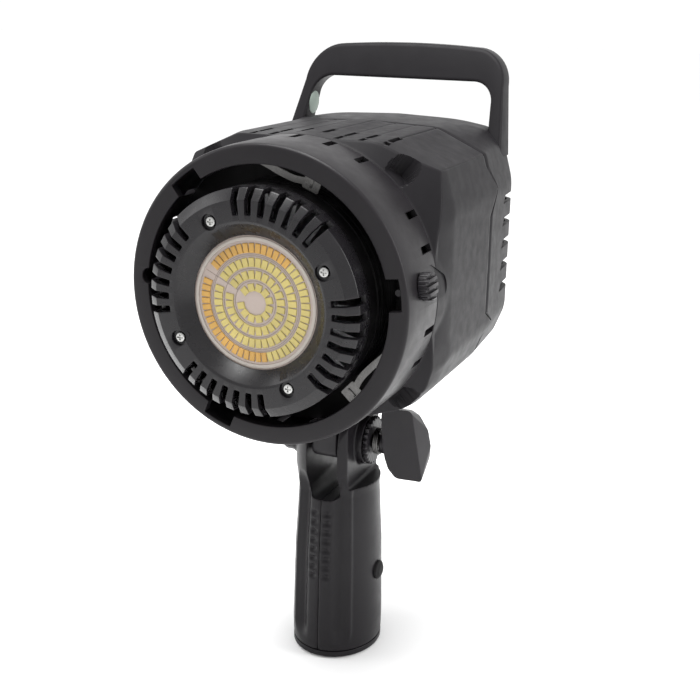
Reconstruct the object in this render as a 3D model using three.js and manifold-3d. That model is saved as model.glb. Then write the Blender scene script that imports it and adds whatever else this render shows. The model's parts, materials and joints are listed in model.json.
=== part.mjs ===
// Handheld LED spotlight with a three-lug accessory collar, a carrying handle and a tilting pistol grip.
// Millimetres, +Z up. The lamp points along -Y. The origin is the middle of the grip's bottom face.
import * as THREE from 'three';
import { mergeVertices } from 'three/addons/utils/BufferGeometryUtils.js';
import Module from 'manifold-3d';

const wasm = await Module();
wasm.setup();

// ---------------------------------------------------------------- driving dimensions
const GAP = 0.3;                    // clearance between pieces that rest on each other
const GAP_BEHIND_FACE = 87;         // from the collar's front face back to the grip's axis
const COLLAR_HEIGHT = 211;          // the lamp's axis above the grip's bottom face

// In the lamp's own frame the collar's front face is y = 0 and the lamp's axis is x = z = 0.
const COLLAR_R = 67.5;
const DRUM_R = 68;
const THROAT_R = 58.7;
const LUG_R = 64.6;
const FACE_THICK = 4;
const DRUM_END = 35.4;
const LUG_ANGLES = [8, 128, 248];
const LUG_HALF_ANGLE = 7;
const PIN_ANGLE = 176;
const LUG_SPRING_ANGLES = [68, 197, 317];
const SPRING_Y = 4.6;

const BEZEL_R = 50.4;
const BEZEL_WALL = 2.2;
const BEZEL_FRONT = -14.2;
const BEZEL_EDGE = -10.6;
const BEZEL_CONE_OUT = 36;
const BEZEL_CONE_IN = 29.4;
const BEZEL_SCREW_R = 39.3;
const BEZEL_SCREW_ANGLES = [28, 118, 208, 298];
const SLOTS_PER_QUADRANT = 7;
const SLOT_PITCH = 8.4;
const SLOT_WIDTH = 3.6;

const BOARD_Y = -8.1;
const BOARD_R = 33.2;
const SINK_R = 46;
const SINK_END = 70;
const BULKHEAD_Y = 31;

const SHELL_START = DRUM_END + GAP;
const SHELL_END = 112.7;
const COVER_START = SHELL_END + GAP;
const COVER_END = 168;
const WALL = 2.5;
const CONE_LENGTH = 18;              // the shell flares from the drum to its squarish section in this length
const CHANNEL_HALF = 6.3;
const CHANNEL_END = 40.5;
const CHANNEL_ANGLES = [49, 131, 224, 316];
const HALF_WIDTH = 68;
const HALF_HEIGHT = 67.5;
const VENT_PITCH = 13.7;
const VENT_LENGTH = 11.6;
const VENT_HALF = 1.7;
const SLIT_PITCH = 10.8;
const SLIT_HALF = 1.4;
const REAR_SLIT = [50.5, 63.5];
const FRONT_SLIT_END = 48.5;
const FRONT_SLIT_STARTS = { 1.5: 38.5, 2.5: 41, 3.5: 45 };

const FAN_Y = 118;
const FAN_SIZE = 80;
const FAN_DEPTH = 20;

const HANDLE_FOOT_Z = 50;
const HANDLE_FOOT_HALF = 61.7;
const HANDLE_TOP_HALF = 53.4;
const HANDLE_TOP_Z = 102.8;
const HANDLE_BAR = 17.3;
const HANDLE_LEG = 8;
const HANDLE_DEPTH = 14.5;
const HANDLE_LEAN = 0.43;
const HANDLE_FRONT = 147;

const KNOB_Y = 17;
const KNOB_ANGLE = 8.2;
const KNOB_TRAVEL = 12;
const KNOB_RECESS_R = 67.2;
const KNOB_RECESS_HALF = 7;
const KNOB_RECESS_END = 41;
const KNOB_RECESS_DROP = -6;

// In the part's frame the grip's axis is x = y = 0, and the tilt axis runs along X.
const TILT_Z = 118;
const SLOT_HALF = 8.5;
const SLOT_FLOOR = 90;
const GRIP_DEPTH_RATIO = 1.14;
const GRIP_BASE_THICK = 4;
const GRIP_WALL = 3;
const BOLT_R = 4;
const GRIP_SCREW_HEIGHTS = [30, 76];
const SCREW_SEAT = -18;
const PLUG_Z = 44.5;

const colours = {
  housing: { color: 0x3c3c3f, roughness: 0.55, metalness: 0 },
  darkPlastic: { color: 0x1c1b1e, roughness: 0.5, metalness: 0 },
  gloss: { color: 0x121214, roughness: 0.2, metalness: 0 },
  grip: { color: 0x222024, roughness: 0.6, metalness: 0 },
  steel: { color: 0x9a9a98, roughness: 0.35, metalness: 1 },
  aluminium: { color: 0xa8a9ac, roughness: 0.4, metalness: 1 },
  brass: { color: 0xb08d4a, roughness: 0.35, metalness: 1 },
  board: { color: 0xe9e2dc, roughness: 0.5, metalness: 0 },
  circuit: { color: 0x1f4a2c, roughness: 0.6, metalness: 0 },
  rubber: { color: 0x19191a, roughness: 0.9, metalness: 0 },
};

const part = new THREE.Group();
const head = new THREE.Group();
head.position.set(0, -GAP_BEHIND_FACE, COLLAR_HEIGHT);
part.add(head);

// ---------------------------------------------------------------- solids and booleans
const rad = (degrees) => (degrees * Math.PI) / 180;

function solidOf(geometry) {
  const bare = geometry.clone();
  bare.deleteAttribute('normal');
  bare.deleteAttribute('uv');
  const merged = mergeVertices(bare, 1e-4);
  const place = merged.getAttribute('position');
  const index = merged.getIndex().array;
  const triangles = [];
  let volume = 0;
  const [a, b, c] = [new THREE.Vector3(), new THREE.Vector3(), new THREE.Vector3()];
  for (let i = 0; i < index.length; i += 3) {
    const [p, q, r] = [index[i], index[i + 1], index[i + 2]];
    if (p === q || q === r || r === p) continue;
    triangles.push(p, q, r);
    a.fromBufferAttribute(place, p);
    b.fromBufferAttribute(place, q);
    c.fromBufferAttribute(place, r);
    volume += a.dot(b.cross(c));
  }
  if (volume < 0) triangles.reverse();
  const vertProperties = new Float32Array(place.array);
  const triVerts = new Uint32Array(triangles);
  return new wasm.Manifold(new wasm.Mesh({ numProp: 3, vertProperties, triVerts }));
}

function geometryOf(solid) {
  const mesh = solid.getMesh();
  const geometry = new THREE.BufferGeometry();
  geometry.setAttribute('position', new THREE.BufferAttribute(mesh.vertProperties, 3));
  geometry.setIndex(new THREE.BufferAttribute(mesh.triVerts, 1));
  geometry.computeVertexNormals();
  return geometry;
}

const join = (first, ...rest) => rest.reduce((sum, solid) => sum.add(solid), first);
const cut = (first, ...rest) => rest.reduce((sum, solid) => sum.subtract(solid), first);

function box(x, y, z) {
  const [low, high] = [new THREE.Vector3(x[0], y[0], z[0]), new THREE.Vector3(x[1], y[1], z[1])];
  const size = high.clone().sub(low);
  const middle = low.clone().add(high).multiplyScalar(0.5);
  return solidOf(new THREE.BoxGeometry(size.x, size.y, size.z).translate(middle.x, middle.y, middle.z));
}

// A rod between two values on one axis, centred on the other two.
function rod(axis, radius, from, to, centre, sides = 24) {
  const geometry = new THREE.CylinderGeometry(radius, radius, to - from, sides);
  if (axis === 'x') geometry.rotateZ(Math.PI / 2);
  if (axis === 'z') geometry.rotateX(Math.PI / 2);
  const middle = (from + to) / 2;
  const place = { x: [middle, centre[0], centre[1]], y: [centre[0], middle, centre[1]] };
  place.z = [centre[0], centre[1], middle];
  return solidOf(geometry.translate(...place[axis]));
}

// A solid of revolution about Y from a closed profile of [radius, y] points.
function turned(profile, sides = 72) {
  const closed = [...profile, profile[0]];
  const points = closed.map(([r, y]) => new THREE.Vector2(Math.max(r, 0), y));
  return solidOf(new THREE.LatheGeometry(points, sides));
}

function outline(points) {
  const shape = new THREE.Shape();
  points.forEach(([u, v], i) => (i ? shape.lineTo(u, v) : shape.moveTo(u, v)));
  shape.closePath();
  return shape;
}

// Extrusions whose outline is drawn facing the viewer along one axis.
function alongY(shape, from, to, curveSegments = 8) {
  const options = { depth: to - from, bevelEnabled: false, curveSegments };
  return solidOf(new THREE.ExtrudeGeometry(shape, options).rotateX(Math.PI / 2).translate(0, to, 0));
}

function alongZ(shape, from, to, curveSegments = 8) {
  const options = { depth: to - from, bevelEnabled: false, curveSegments };
  return solidOf(new THREE.ExtrudeGeometry(shape, options).translate(0, 0, from));
}

function alongX(shape, from, to, curveSegments = 8) {
  const options = { depth: to - from, bevelEnabled: false, curveSegments };
  const stand = new THREE.Matrix4().set(0, 0, 1, from, 1, 0, 0, 0, 0, 1, 0, 0, 0, 0, 0, 1);
  return solidOf(new THREE.ExtrudeGeometry(shape, options).applyMatrix4(stand));
}

const spin = (solid, degrees) => solid.rotate([0, -degrees, 0]);

function roundedRectangle(halfWidth, halfHeight, radius) {
  const shape = new THREE.Shape();
  const [w, h, r] = [halfWidth, halfHeight, radius];
  shape.moveTo(w, -h + r);
  shape.absarc(w - r, h - r, r, 0, Math.PI / 2);
  shape.absarc(-w + r, h - r, r, Math.PI / 2, Math.PI);
  shape.absarc(-w + r, -h + r, r, Math.PI, 1.5 * Math.PI);
  shape.absarc(w - r, -h + r, r, 1.5 * Math.PI, 2 * Math.PI);
  return shape;
}

function place(group, name, solid, look) {
  const mesh = new THREE.Mesh(geometryOf(solid), new THREE.MeshStandardMaterial(look));
  mesh.name = name;
  group.add(mesh);
}

// ---------------------------------------------------------------- housing cross-section
// A squarish section with flat sides, steep shoulders and a lightly crowned top. inset moves it inwards.
function bodySection(inset = 0) {
  const side = HALF_WIDTH - inset;
  const top = HALF_HEIGHT - inset;
  const slope = inset * 0.8;
  const right = [
    [side, 0],
    [side, 36 - slope * 0.4],
    [63 - slope, 54.5 - slope * 0.7],
    [38 - slope * 0.5, 65.7 - inset],
    [19, top - 0.5],
    [0, top],
  ];
  const lower = [
    [0, -top],
    [18, -top],
    [52 - slope * 0.6, -57.5 + slope],
    [62.4 - slope, -46.8 + slope * 0.7],
    [side, -33 + slope * 0.4],
  ];
  const left = right.slice(1, -1).reverse().map(([x, z]) => [-x, z]);
  const lowerLeft = lower.slice(1).reverse().map(([x, z]) => [-x, z]);
  return outline([...right, ...left, ...lowerLeft, ...lower]);
}

// ---------------------------------------------------------------- front collar
// Narrow vents at the collar's back edge, left out where a channel or the release knob is.
function squareVents() {
  const keepClear = [...CHANNEL_ANGLES, KNOB_ANGLE];
  const vents = [];
  for (let angle = 20; angle < 350; angle += VENT_PITCH) {
    if (keepClear.every((other) => Math.abs(angle - other) > 6)) {
      const vent = box([DRUM_R - 6, DRUM_R + 3], [DRUM_END - VENT_LENGTH, DRUM_END + 1], [-VENT_HALF, VENT_HALF]);
      vents.push(spin(vent, angle));
    }
  }
  return vents;
}

// A shallow obround recess in the drum's side, in which the release knob slides.
function knobRecess() {
  const dish = (y, z) => rod('x', KNOB_RECESS_HALF, KNOB_RECESS_R, DRUM_R + 8, [y, z], 24);
  const ends = [dish(KNOB_Y, 0), dish(KNOB_Y + KNOB_TRAVEL, 0), dish(KNOB_RECESS_END, KNOB_RECESS_DROP)];
  return spin(wasm.Manifold.hull(ends), KNOB_ANGLE);
}

function frontCollar() {
  const body = turned([
    [COLLAR_R - 1.6, 0],
    [COLLAR_R - 0.5, 0.5],
    [COLLAR_R, 1.8],
    [DRUM_R, 8],
    [DRUM_R, DRUM_END],
    [LUG_R + 0.4, DRUM_END],
    [LUG_R, FACE_THICK],
    [THROAT_R, FACE_THICK],
    [THROAT_R, 0],
  ]);
  const notchHalf = LUG_R * Math.sin(rad(LUG_HALF_ANGLE));
  const notches = LUG_ANGLES.map((angle) => (
    spin(box([THROAT_R - 4, LUG_R - 0.2], [-1, FACE_THICK + 1], [-notchHalf, notchHalf]), angle)
  ));
  const pinNotch = spin(rod('y', 3.6, -1, FACE_THICK + 1, [THROAT_R - 0.6, 0], 16), PIN_ANGLE);
  const slotEnd = KNOB_Y + KNOB_TRAVEL + 3.2;
  const knobSlot = spin(box([LUG_R - 4, DRUM_R + 3], [KNOB_Y - 3.2, slotEnd], [-3.2, 3.2]), KNOB_ANGLE);
  return cut(body, ...notches, pinNotch, knobSlot, knobRecess(), ...squareVents());
}

place(head, 'front_collar', frontCollar(), colours.housing);

// A flat leaf spring behind the collar's face: a blade that ends in a square pad, and presses on a lug.
function lugSpring(angle) {
  const path = [[27, 60.4], [22, 58.2], [16, 55.8], [9, 54.6], [3, 55.4]];
  const edge = (offset) => path.map(([turn, radius]) => [
    (radius + offset) * Math.cos(rad(turn)),
    (radius + offset) * Math.sin(rad(turn)),
  ]);
  const blade = alongY(outline([...edge(1.5), ...edge(-1.5).reverse()]), SPRING_Y, SPRING_Y + 0.8);
  const pad = box([52.4, 59.4], [SPRING_Y, SPRING_Y + 0.8], [-4, 4]);
  const foot = spin(rod('y', 1.6, SPRING_Y, SPRING_Y + 4, [60.8, 0], 12), 26);
  return spin(join(blade, pad, foot), angle);
}

LUG_SPRING_ANGLES.forEach((angle, i) => {
  place(head, `lug_spring_${i + 1}`, lugSpring(angle), colours.steel);
});

// ---------------------------------------------------------------- lamp
function ventBezel() {
  const inner = BEZEL_R - BEZEL_WALL;
  const body = turned([
    [BEZEL_CONE_IN, BOARD_Y + 0.4],
    [BEZEL_CONE_OUT, BEZEL_FRONT],
    [BEZEL_R - 5, BEZEL_FRONT],
    [BEZEL_R, BEZEL_EDGE],
    [BEZEL_R, 0],
    [inner, 0],
    [inner, BEZEL_EDGE + 1.6],
    [BEZEL_R - 6, BEZEL_FRONT + 3.4],
    [BEZEL_CONE_OUT + 1.4, BEZEL_FRONT + 3.4],
    [BEZEL_CONE_OUT - 0.2, BOARD_Y + 0.4],
  ], 56);
  const slots = [];
  for (const sector of BEZEL_SCREW_ANGLES) {
    for (let i = 0; i < SLOTS_PER_QUADRANT; i += 1) {
      const angle = sector + 45 + (i - (SLOTS_PER_QUADRANT - 1) / 2) * SLOT_PITCH;
      const radial = box([BEZEL_CONE_OUT + 3, BEZEL_R + 2], [BEZEL_FRONT - 1, -3.5], [-SLOT_WIDTH / 2, SLOT_WIDTH / 2]);
      slots.push(spin(radial, angle));
    }
  }
  const bosses = BEZEL_SCREW_ANGLES.map((angle) => (
    spin(rod('y', 4.4, BEZEL_FRONT + 1, BEZEL_FRONT + 6.4, [BEZEL_SCREW_R, 0], 16), angle)
  ));
  const sinks = BEZEL_SCREW_ANGLES.map((angle) => join(
    spin(rod('y', 3.3, BEZEL_FRONT - 1, BEZEL_FRONT + 2.4, [BEZEL_SCREW_R, 0], 16), angle),
    spin(rod('y', 1.9, BEZEL_FRONT - 1, BEZEL_FRONT + 9, [BEZEL_SCREW_R, 0], 12), angle),
  ));
  return cut(join(body, ...bosses), ...slots, ...sinks);
}

place(head, 'vent_bezel', ventBezel(), colours.darkPlastic);

BEZEL_SCREW_ANGLES.forEach((angle, i) => {
  const screw = join(
    rod('y', 2.8, BEZEL_FRONT + 0.9, BEZEL_FRONT + 2.1, [BEZEL_SCREW_R, 0], 16),
    rod('y', 1.5, BEZEL_FRONT + 2, 2, [BEZEL_SCREW_R, 0], 12),
  );
  place(head, `bezel_screw_${i + 1}`, spin(screw, angle), colours.steel);
});

place(head, 'led_board', rod('y', BOARD_R, BOARD_Y + 0.7, BOARD_Y + 2.3, [0, 0], 48), colours.board);

function heatSink() {
  const fins = [];
  const finCount = 20;
  for (let i = 0; i < finCount; i += 1) {
    for (const [offset, radius] of [[-1.2, 20], [-0.75, SINK_R], [0.75, SINK_R], [1.2, 20]]) {
      const angle = rad((i * 360) / finCount) + offset / radius;
      fins.push([radius * Math.cos(angle), radius * Math.sin(angle)]);
    }
  }
  const base = rod('y', 34, BOARD_Y + 2.6, 4, [0, 0], 40);
  const arms = BEZEL_SCREW_ANGLES.map((angle) => spin(box([30, 44], [-5, 3.8], [-5, 5]), angle));
  const bores = BEZEL_SCREW_ANGLES.map((angle) => spin(rod('y', 1.8, -9, 2.4, [BEZEL_SCREW_R, 0], 12), angle));
  return cut(join(base, ...arms, alongY(outline(fins), 3.5, SINK_END)), ...bores);
}

place(head, 'heat_sink', heatSink(), colours.aluminium);

const barrelInner = BEZEL_R - BEZEL_WALL;
place(head, 'lamp_barrel', turned([
  [BEZEL_R, GAP],
  [BEZEL_R, BULKHEAD_Y - GAP],
  [barrelInner, BULKHEAD_Y - GAP],
  [barrelInner, GAP],
], 60), colours.darkPlastic);

const bulkhead = turned([
  [64.6, BULKHEAD_Y],
  [64.6, BULKHEAD_Y + 2.5],
  [SINK_R + 1, BULKHEAD_Y + 2.5],
  [SINK_R + 1, BULKHEAD_Y],
], 60);
const knobNotch = spin(box([56, 70], [BULKHEAD_Y - 1, BULKHEAD_Y + 4], [-4.8, 4.8]), KNOB_ANGLE);
place(head, 'bulkhead', cut(bulkhead, knobNotch), colours.darkPlastic);

// ---------------------------------------------------------------- main shell
// The squarish section grows out of the drum along a cone, and each corner has a screwdriver channel.
function channel(angle, wall = 0) {
  const half = CHANNEL_HALF + wall;
  const depth = [DRUM_R - wall, DRUM_R + 25];
  return spin(join(
    box(depth, [20, CHANNEL_END], [-half, half]),
    rod('x', half, ...depth, [CHANNEL_END, 0], 24),
  ), angle);
}

function topSlits() {
  const slits = [];
  for (let column = -3.5; column <= 3.5; column += 1) {
    const x = column * SLIT_PITCH;
    const across = [x - SLIT_HALF, x + SLIT_HALF];
    slits.push(box(across, REAR_SLIT, [50, 80]));
    const start = FRONT_SLIT_STARTS[Math.abs(column)];
    if (start) {
      slits.push(box(across, [start, FRONT_SLIT_END], [50, 80]));
    }
  }
  return slits;
}

function mainShell() {
  const flare = (inset) => turned([
    [0, SHELL_START],
    [DRUM_R - 2 - inset, SHELL_START],
    [DRUM_R + 18 - inset, SHELL_START + CONE_LENGTH],
    [DRUM_R + 18 - inset, 130],
    [0, 130],
  ], 72);
  const prism = alongY(bodySection(), SHELL_START, SHELL_END).intersect(flare(0));
  const drum = rod('y', DRUM_R, SHELL_START, 60, [0, 0], 72);
  const hollow = join(
    alongY(bodySection(WALL), SHELL_START + 2, SHELL_END + 1).intersect(flare(3.7)),
    rod('y', DRUM_R - WALL - 0.6, SHELL_START - 1, 60, [0, 0], 72),
  );
  const channels = CHANNEL_ANGLES.map((angle) => channel(angle));
  const channelWalls = CHANNEL_ANGLES.map((angle) => channel(angle, 2));
  const armHole = box([-7.6, 7.6], [65.4, 108.6], [-75, -60]);
  const shell = cut(join(prism, drum), cut(hollow, ...channelWalls), ...channels);
  return cut(shell, ...topSlits(), armHole, knobRecess());
}

place(head, 'main_shell', mainShell(), colours.housing);

// ---------------------------------------------------------------- rear cover
// Towards the back the cover's upper corners fill out, from the shell's shoulder to full corners.
function fullCorner(inset) {
  const shoulder = (y, lift) => [
    [37, y, 65.2 - inset],
    [54 - inset * 0.6, y, 57.8 + lift - inset],
    [62.6 - inset, y, 54 - inset * 0.7],
    [45, y, 50],
  ];
  const solid = wasm.Manifold.hull([
    ...shoulder(COVER_START - 5, 0),
    ...shoulder(145, 4.4),
    ...shoulder(COVER_END + 5, 4.4),
  ]);
  return join(solid, solid.mirror([1, 0, 0]));
}

function coverBody(inset) {
  const straight = alongY(bodySection(inset), COVER_START - 5, COVER_END + 5);
  const section = join(straight, fullCorner(inset));
  const half = HALF_WIDTH - inset;
  const tip = 64.8 - inset;
  const end = COVER_END - inset;
  const corner = 10 - inset * 0.5;
  const plan = new THREE.Shape();
  plan.moveTo(half, COVER_START - 6);
  plan.lineTo(half, COVER_START);
  plan.lineTo(tip, end - corner);
  plan.absarc(tip - corner, end - corner, corner, 0, Math.PI / 2);
  plan.absarc(-tip + corner, end - corner, corner, Math.PI / 2, Math.PI);
  plan.lineTo(-half, COVER_START);
  plan.lineTo(-half, COVER_START - 6);
  const top = HALF_HEIGHT + 0.5 - inset;
  const round = 12 - inset * 0.5;
  const side = new THREE.Shape();
  side.moveTo(COVER_START - 6, -top);
  side.lineTo(end - round, -top);
  side.absarc(end - round, -top + round, round, -Math.PI / 2, 0);
  side.absarc(end - round, top - round, round, 0, Math.PI / 2);
  side.lineTo(COVER_START - 6, top);
  return section.intersect(alongZ(plan, -90, 90, 5)).intersect(alongX(side, -90, 90, 5));
}

function rearCover() {
  const front = box([-90, 90], [COVER_START, 200], [-90, 90]);
  const louvres = [];
  for (let row = 0; row < 5; row += 1) {
    const z = 28 - row * 11.7;
    louvres.push(box([52, 75], [143, 180], [z - 2.1, z + 2.1]));
    louvres.push(box([-75, -52], [143, 180], [z - 2.1, z + 2.1]));
  }
  const window = alongY(roundedRectangle(46, 38, 4), 155, 180);
  const shell = cut(coverBody(0).intersect(front), coverBody(WALL));
  return cut(shell, window, ...louvres);
}

place(head, 'rear_cover', rearCover(), colours.housing);

// ---------------------------------------------------------------- carrying handle
// An inverted U in the X-Z plane, leaning back as it rises.
function handleOutline() {
  const lean = (HANDLE_FOOT_HALF - HANDLE_TOP_HALF) / (HANDLE_TOP_Z - HANDLE_FOOT_Z);
  const bend = 19;
  const bendIn = 12;
  const innerTop = HANDLE_TOP_Z - HANDLE_BAR;
  const outerAt = (z) => HANDLE_FOOT_HALF - lean * (z - HANDLE_FOOT_Z);
  const innerAt = (z) => outerAt(z) - HANDLE_LEG;
  const shape = new THREE.Shape();
  shape.moveTo(outerAt(HANDLE_FOOT_Z), HANDLE_FOOT_Z);
  shape.lineTo(outerAt(HANDLE_TOP_Z - bend), HANDLE_TOP_Z - bend);
  shape.quadraticCurveTo(outerAt(HANDLE_TOP_Z - 2), HANDLE_TOP_Z - 1, HANDLE_TOP_HALF - bend, HANDLE_TOP_Z);
  shape.lineTo(0, HANDLE_TOP_Z + 1.2);
  shape.lineTo(-HANDLE_TOP_HALF + bend, HANDLE_TOP_Z);
  shape.quadraticCurveTo(-outerAt(HANDLE_TOP_Z - 2), HANDLE_TOP_Z - 1, -outerAt(HANDLE_TOP_Z - bend), HANDLE_TOP_Z - bend);
  shape.lineTo(-outerAt(HANDLE_FOOT_Z), HANDLE_FOOT_Z);
  shape.lineTo(-innerAt(HANDLE_FOOT_Z), HANDLE_FOOT_Z);
  shape.lineTo(-innerAt(innerTop - bendIn), innerTop - bendIn);
  shape.quadraticCurveTo(-innerAt(innerTop), innerTop, -innerAt(innerTop) + bendIn, innerTop);
  shape.lineTo(innerAt(innerTop) - bendIn, innerTop);
  shape.quadraticCurveTo(innerAt(innerTop), innerTop, innerAt(innerTop - bendIn), innerTop - bendIn);
  shape.lineTo(innerAt(HANDLE_FOOT_Z), HANDLE_FOOT_Z);
  return shape;
}

function carryHandle() {
  const options = { depth: HANDLE_DEPTH, bevelEnabled: false, curveSegments: 6 };
  const flat = new THREE.ExtrudeGeometry(handleOutline(), options);
  const lean = new THREE.Matrix4().set(
    1, 0, 0, 0,
    0, HANDLE_LEAN, 1, HANDLE_FRONT - HANDLE_LEAN * 60,
    0, 1, 0, 0,
    0, 0, 0, 1,
  );
  return cut(solidOf(flat.applyMatrix4(lean)), coverBody(-GAP));
}

place(head, 'carry_handle', carryHandle(), colours.housing);

// ---------------------------------------------------------------- rear control panel
const PANEL_FRONT = COVER_END - 3;
const BRIGHTNESS = [-24, -8];
const COLOUR_TEMPERATURE = [24, -8];
const BUTTONS = [[-7, -8], [7, -8]];

function controlPanel() {
  const plate = alongY(roundedRectangle(46 - GAP, 38 - GAP, 4 - GAP), PANEL_FRONT, COVER_END);
  const holes = [
    rod('y', 3.4, PANEL_FRONT - 1, COVER_END + 1, BRIGHTNESS, 16),
    rod('y', 3.4, PANEL_FRONT - 1, COVER_END + 1, COLOUR_TEMPERATURE, 16),
    ...BUTTONS.map((centre) => rod('y', 4.3, PANEL_FRONT - 1, COVER_END + 1, centre, 16)),
    box([-20.3, 20.3], [COVER_END - 1.8, COVER_END + 1], [9.7, 30.3]),
    box([-36.3, -15.7], [PANEL_FRONT - 1, COVER_END + 1], [-35.3, -24.7]),
    box([-1.3, 31.3], [PANEL_FRONT - 1, COVER_END + 1], [-36.3, -21.7]),
  ];
  return cut(plate, ...holes);
}

place(head, 'control_panel', controlPanel(), colours.darkPlastic);
place(head, 'display_window', box([-20, 20], [COVER_END - 1.5, COVER_END - 0.2], [10, 30]), colours.gloss);

function dial(centre) {
  const knob = join(
    rod('y', 10, COVER_END + 0.8, COVER_END + 11, centre, 28),
    rod('y', 3, PANEL_FRONT - 4, COVER_END + 1, centre, 16),
  );
  return cut(knob, box([centre[0] - 0.7, centre[0] + 0.7], [COVER_END + 10.2, COVER_END + 12], [centre[1] + 3, centre[1] + 11]));
}

place(head, 'brightness_dial', dial(BRIGHTNESS), colours.rubber);
place(head, 'colour_dial', dial(COLOUR_TEMPERATURE), colours.rubber);
BUTTONS.forEach((centre, i) => {
  place(head, `push_button_${i + 1}`, rod('y', 4, PANEL_FRONT - 1, COVER_END + 1.6, centre, 20), colours.rubber);
});

// The panel's circuit board carries an encoder for each dial and a switch for each button.
function panelBoard() {
  const board = box([-40, 40], [150, 151.6], [-18, 34]);
  const encoders = [BRIGHTNESS, COLOUR_TEMPERATURE].map(([x, z]) => cut(
    box([x - 6, x + 6], [151, PANEL_FRONT - 0.6], [z - 6, z + 6]),
    rod('y', 3.3, PANEL_FRONT - 4.4, PANEL_FRONT, [x, z], 16),
  ));
  const switches = BUTTONS.map(([x, z]) => box([x - 3, x + 3], [151, PANEL_FRONT - 2.2], [z - 3, z + 3]));
  return join(board, ...encoders, ...switches);
}

place(head, 'panel_board', panelBoard(), colours.circuit);

// The rocker turns about an axis along Z inside its bezel.
function powerRocker() {
  const paddle = new THREE.Shape();
  paddle.moveTo(-8, 2.4);
  paddle.lineTo(-8, -2);
  paddle.lineTo(8, -2);
  paddle.lineTo(8, 2.4);
  paddle.quadraticCurveTo(0, 0.2, -8, 2.4);
  return alongZ(paddle, -34, -26).translate([-26, COVER_END - 0.2, 0]);
}

place(head, 'power_rocker', powerRocker(), colours.gloss);

function rockerBezel() {
  const frame = join(
    box([-36, -16], [PANEL_FRONT - 8, COVER_END + 0.5], [-35, -25]),
    box([-37.4, -14.6], [COVER_END + GAP, COVER_END + 1.3], [-36.4, -23.6]),
  );
  return cut(frame, box([-34.8, -17.2], [PANEL_FRONT - 2.4, COVER_END + 2], [-34.3, -25.7]));
}

place(head, 'rocker_bezel', rockerBezel(), colours.darkPlastic);

function powerInlet() {
  const frame = join(
    box([-1, 31], [PANEL_FRONT - 12, COVER_END], [-36, -22]),
    box([-2.5, 32.5], [COVER_END + GAP, COVER_END + 1.5], [-37.5, -20.5]),
    box([0, 30], [COVER_END - 1, COVER_END + 1], [-35, -23]),
  );
  const cavity = box([2, 28], [PANEL_FRONT - 10, COVER_END + 3], [-34, -24]);
  const pins = [6, 15, 24].map((x) => box([x - 0.6, x + 0.6], [PANEL_FRONT - 11, COVER_END - 2], [-31, -27]));
  return join(cut(frame, cavity), ...pins);
}

place(head, 'power_inlet', powerInlet(), colours.gloss);

// ---------------------------------------------------------------- fan, driver and supply
function fanFrame() {
  const half = FAN_SIZE / 2;
  const frame = cut(
    alongY(roundedRectangle(half, half, 5), FAN_Y, FAN_Y + FAN_DEPTH),
    rod('y', half - 2, FAN_Y - 1, FAN_Y + FAN_DEPTH + 1, [0, 0], 40),
  );
  const hub = rod('y', 13, FAN_Y + FAN_DEPTH - 3, FAN_Y + FAN_DEPTH, [0, 0], 24);
  const spokes = [0, 90, 180, 270].map((angle) => (
    spin(box([10, half - 1], [FAN_Y + FAN_DEPTH - 3, FAN_Y + FAN_DEPTH], [-2, 2]), angle + 45)
  ));
  const pin = rod('y', 1.5, FAN_Y + 4, FAN_Y + FAN_DEPTH - 2, [0, 0], 12);
  const ears = [-26, 26].map((z) => box([-63, 63], [FAN_Y + FAN_DEPTH - 3, FAN_Y + FAN_DEPTH], [z - 3, z + 3]));
  const opening = rod('y', half - 2, FAN_Y, FAN_Y + FAN_DEPTH + 1, [0, 0], 40);
  return join(frame, hub, pin, ...spokes, ...ears.map((ear) => cut(ear, opening)));
}

place(head, 'fan_frame', fanFrame(), colours.darkPlastic);

function fanRotor() {
  const hub = cut(
    rod('y', 14, FAN_Y + 1, FAN_Y + FAN_DEPTH - 3.6, [0, 0], 28),
    rod('y', 1.8, FAN_Y + 3.4, FAN_Y + FAN_DEPTH, [0, 0], 12),
  );
  const blades = [];
  for (let i = 0; i < 7; i += 1) {
    const blade = box([12, 36.5], [-0.8, 0.8], [-8, 8]).rotate([38, 0, 0]).translate([0, FAN_Y + 8.6, 0]);
    blades.push(spin(blade, (i * 360) / 7));
  }
  return join(hub, ...blades);
}

place(head, 'fan_rotor', fanRotor(), colours.darkPlastic);

function driverBoard() {
  const board = box([-38, 38], [48, 108], [-52.4, -50.8]);
  const parts = [
    box([-30, -14], [80, 98], [-51, -40]),
    box([-8, 8], [84, 100], [-51, -42]),
    box([16, 30], [82, 100], [-51, -38]),
    rod('z', 5, -51, -39, [-24, 74.4], 16),
  ];
  const pegs = [[-21.5, 54], [21.5, 54], [-21.5, 103], [21.5, 103]].map((at) => rod('z', 2.5, -62.9, -52, at, 10));
  return join(board, ...parts, ...pegs);
}

place(head, 'driver_board', driverBoard(), colours.circuit);

function powerSupply() {
  const board = box([-34, 34], [52, 108], [48.4, 50]);
  const parts = [
    box([-28, -6], [80, 102], [50, 61]),
    box([4, 14], [80, 104], [50, 60]),
    rod('z', 6, 50, 61, [24, 88], 16),
  ];
  const pegs = [[-30, 56], [30, 56], [-30, 105], [30, 105]].map((at) => rod('z', 2.5, 49, 63.2, at, 10));
  return join(board, ...parts, ...pegs);
}

place(head, 'power_supply', powerSupply(), colours.circuit);

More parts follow.
